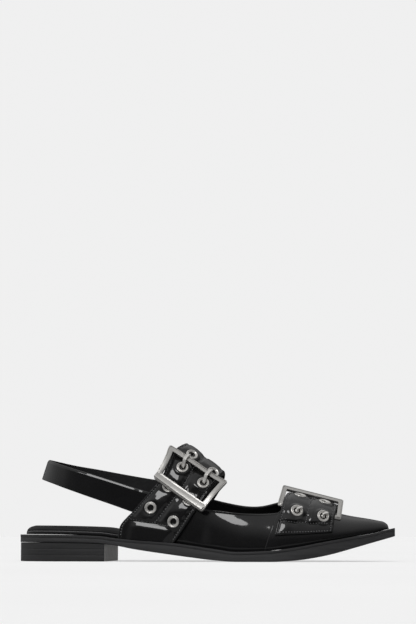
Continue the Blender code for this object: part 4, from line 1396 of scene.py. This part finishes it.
def make_stage(stage, colours):
    """Pale floor, studio light and the camera at the viewing angle."""
    bpy.context.scene.view_settings.view_transform = "Standard"
    add_floor(colours)
    add_room(stage, colours)
    for sun in SUNS:
        add_sun(sun, stage.sun_light)
    for box in SOFTBOXES:
        add_softbox(box)
    add_camera(stage)


def length(label, note, default):
    """Length property whose default is in metres."""
    return FloatProperty(name=label, description=note, default=default, min=0.0, unit="LENGTH", precision=5)


def colour(label, note, default):
    """Colour property with linear red, green and blue."""
    return FloatVectorProperty(name=label, description=note, default=default, min=0.0, max=1.0,
                               subtype="COLOR")


def strength(label, note, default):
    """Strength property of a light."""
    return FloatProperty(name=label, description=note, default=default, min=0.0)


class SlingbackSizes(bpy.types.PropertyGroup):
    """Sizes of the fine detail"""
    pad_crown: length("Padding crown", "How much each padded column rounds up in its middle", 0.0007)
    pull_depth: length("Pull depth", "Depth of the little pulls beside stitched lines", 0.00018)
    stitch_inset: length("Stitch inset", "Distance of the edge stitching from a strap's edge", 0.0019)
    stitch_pitch: length("Stitch pitch", "Distance from one stitch to the next", 0.0020)
    stitch_thickness: length("Stitch thickness", "Thickness of the thread", 0.0007)
    topline_bead: length("Opening bead", "Height of the bead along the opening of the upper", 0.00035)


class SlingbackColours(bpy.types.PropertyGroup):
    """Colours of the finishes"""
    patent: colour("Patent leather", "Upper, straps and sling", (0.002, 0.002, 0.0023))
    lining: colour("Lining", "Inside of the upper, undersides and footbed", (0.008, 0.008, 0.0085))
    sole: colour("Sole", "Rubber of the outsole", (0.022, 0.022, 0.023))
    heel: colour("Heel", "Rubber of the heel stack", (0.017, 0.017, 0.0178))
    # The heel's front face has its own colour, about ten times lighter than the stack's sides
    breast: colour("Heel breast", "Bare front of the heel stack", (0.22, 0.215, 0.21))
    metal: colour("Metal", "Buckles, prongs and eyelets", (0.58, 0.57, 0.55))
    # This colour is also laid on the footbed's cord, where its lightness paints the highlight line along
    # the edge
    thread: colour("Thread", "Stitches and the footbed's cord", (0.08, 0.08, 0.083))
    floor: colour("Floor", "Paper under the shoe", (0.38, 0.38, 0.38))
    backdrop: colour("Backdrop", "Pale studio behind the shoe", (0.87, 0.87, 0.87))


class SlingbackStage(bpy.types.PropertyGroup):
    """Camera and room"""
    camera_distance: length("Camera distance", "Distance of the camera from the shoe's middle", 1.5)
    camera_height: length("Camera height", "Height of the camera over the floor", 0.020)
    sun_light: strength("Even light", "Strength of the even light from above and in front", 2.0)
    room_light: strength("Room light", "Brightness of the room around the shoe", 1.0)


GROUPS = {"slingback_sizes": SlingbackSizes,
          "slingback_colours": SlingbackColours,
          "slingback_stage": SlingbackStage}


class SLINGBACK_OT_sole(bpy.types.Operator):
    """Outsole with its welt, and the stacked heel under it"""
    bl_idname = "slingback.sole"
    bl_label = "Sole and heel"

    def execute(self, context):
        make_sole(context.scene.slingback_colours)
        return {"FINISHED"}


class SLINGBACK_OT_insole(bpy.types.Operator):
    """Padded footbed"""
    bl_idname = "slingback.insole"
    bl_label = "Footbed"

    def execute(self, context):
        make_insole(context.scene.slingback_colours)
        return {"FINISHED"}


class SLINGBACK_OT_upper(bpy.types.Operator):
    """Vamp and quarters, hollow inside"""
    bl_idname = "slingback.upper"
    bl_label = "Upper"

    def execute(self, context):
        make_upper(context.scene.slingback_sizes, context.scene.slingback_colours)
        return {"FINISHED"}


class SLINGBACK_OT_straps(bpy.types.Operator):
    """Padded instep and toe straps"""
    bl_idname = "slingback.straps"
    bl_label = "Padded straps"

    def execute(self, context):
        make_straps(context.scene.slingback_sizes, context.scene.slingback_colours)
        return {"FINISHED"}


class SLINGBACK_OT_stitches(bpy.types.Operator):
    """Rows of stitches on both straps"""
    bl_idname = "slingback.stitches"
    bl_label = "Stitching"

    def execute(self, context):
        make_stitches(context.scene.slingback_sizes, context.scene.slingback_colours)
        return {"FINISHED"}


class SLINGBACK_OT_sling(bpy.types.Operator):
    """Band round the heel"""
    bl_idname = "slingback.sling"
    bl_label = "Sling band"

    def execute(self, context):
        make_sling(context.scene.slingback_colours)
        return {"FINISHED"}


class SLINGBACK_OT_buckles(bpy.types.Operator):
    """Buckle frames and the hinge bar"""
    bl_idname = "slingback.buckles"
    bl_label = "Buckle frames"

    def execute(self, context):
        make_buckles(context.scene.slingback_colours)
        return {"FINISHED"}


class SLINGBACK_OT_prongs(bpy.types.Operator):
    """Prongs of both buckles"""
    bl_idname = "slingback.prongs"
    bl_label = "Prongs"

    def execute(self, context):
        make_prongs(context.scene.slingback_colours)
        return {"FINISHED"}


class SLINGBACK_OT_eyelets(bpy.types.Operator):
    """Eyelets along both straps"""
    bl_idname = "slingback.eyelets"
    bl_label = "Eyelets"

    def execute(self, context):
        make_eyelets(context.scene.slingback_colours)
        return {"FINISHED"}


class SLINGBACK_OT_stage(bpy.types.Operator):
    """Floor, light and camera"""
    bl_idname = "slingback.stage"
    bl_label = "Stage"

    def execute(self, context):
        make_stage(context.scene.slingback_stage, context.scene.slingback_colours)
        return {"FINISHED"}


OPERATORS = (SLINGBACK_OT_sole, SLINGBACK_OT_insole, SLINGBACK_OT_upper, SLINGBACK_OT_straps,
             SLINGBACK_OT_stitches, SLINGBACK_OT_sling, SLINGBACK_OT_buckles, SLINGBACK_OT_prongs,
             SLINGBACK_OT_eyelets, SLINGBACK_OT_stage)


class SLINGBACK_PT_pieces(bpy.types.Panel):
    """Sizes, colours and pieces of the slingback flat"""
    bl_idname = "SLINGBACK_PT_pieces"
    bl_label = "Slingback flat"
    bl_space_type = "VIEW_3D"
    bl_region_type = "UI"
    bl_category = "Slingback"

    def draw(self, context):
        layout = self.layout
        for name in GROUPS:
            group = getattr(context.scene, name)
            column = layout.column(align=True)
            for key in group.__annotations__:
                column.prop(group, key)
        for operator in OPERATORS:
            layout.operator(operator.bl_idname)


def register():
    """Registers the classes and puts the property groups on the scene."""
    for group in GROUPS.values():
        bpy.utils.register_class(group)
    for operator in OPERATORS:
        bpy.utils.register_class(operator)
    bpy.utils.register_class(SLINGBACK_PT_pieces)
    for key, group in GROUPS.items():
        setattr(bpy.types.Scene, key, PointerProperty(type=group))


def unregister():
    """Takes the property groups off the scene and removes the classes."""
    for key in GROUPS:
        delattr(bpy.types.Scene, key)
    bpy.utils.unregister_class(SLINGBACK_PT_pieces)
    for operator in reversed(OPERATORS):
        bpy.utils.unregister_class(operator)
    for group in GROUPS.values():
        bpy.utils.unregister_class(group)


def main():
    """Makes every piece and the stage."""
    register()
    bpy.ops.slingback.stage()
    bpy.ops.slingback.sole()
    bpy.ops.slingback.insole()
    bpy.ops.slingback.upper()
    bpy.ops.slingback.straps()
    bpy.ops.slingback.stitches()
    bpy.ops.slingback.sling()
    bpy.ops.slingback.buckles()
    bpy.ops.slingback.prongs()
    bpy.ops.slingback.eyelets()


if __name__ == "__main__":
    main()
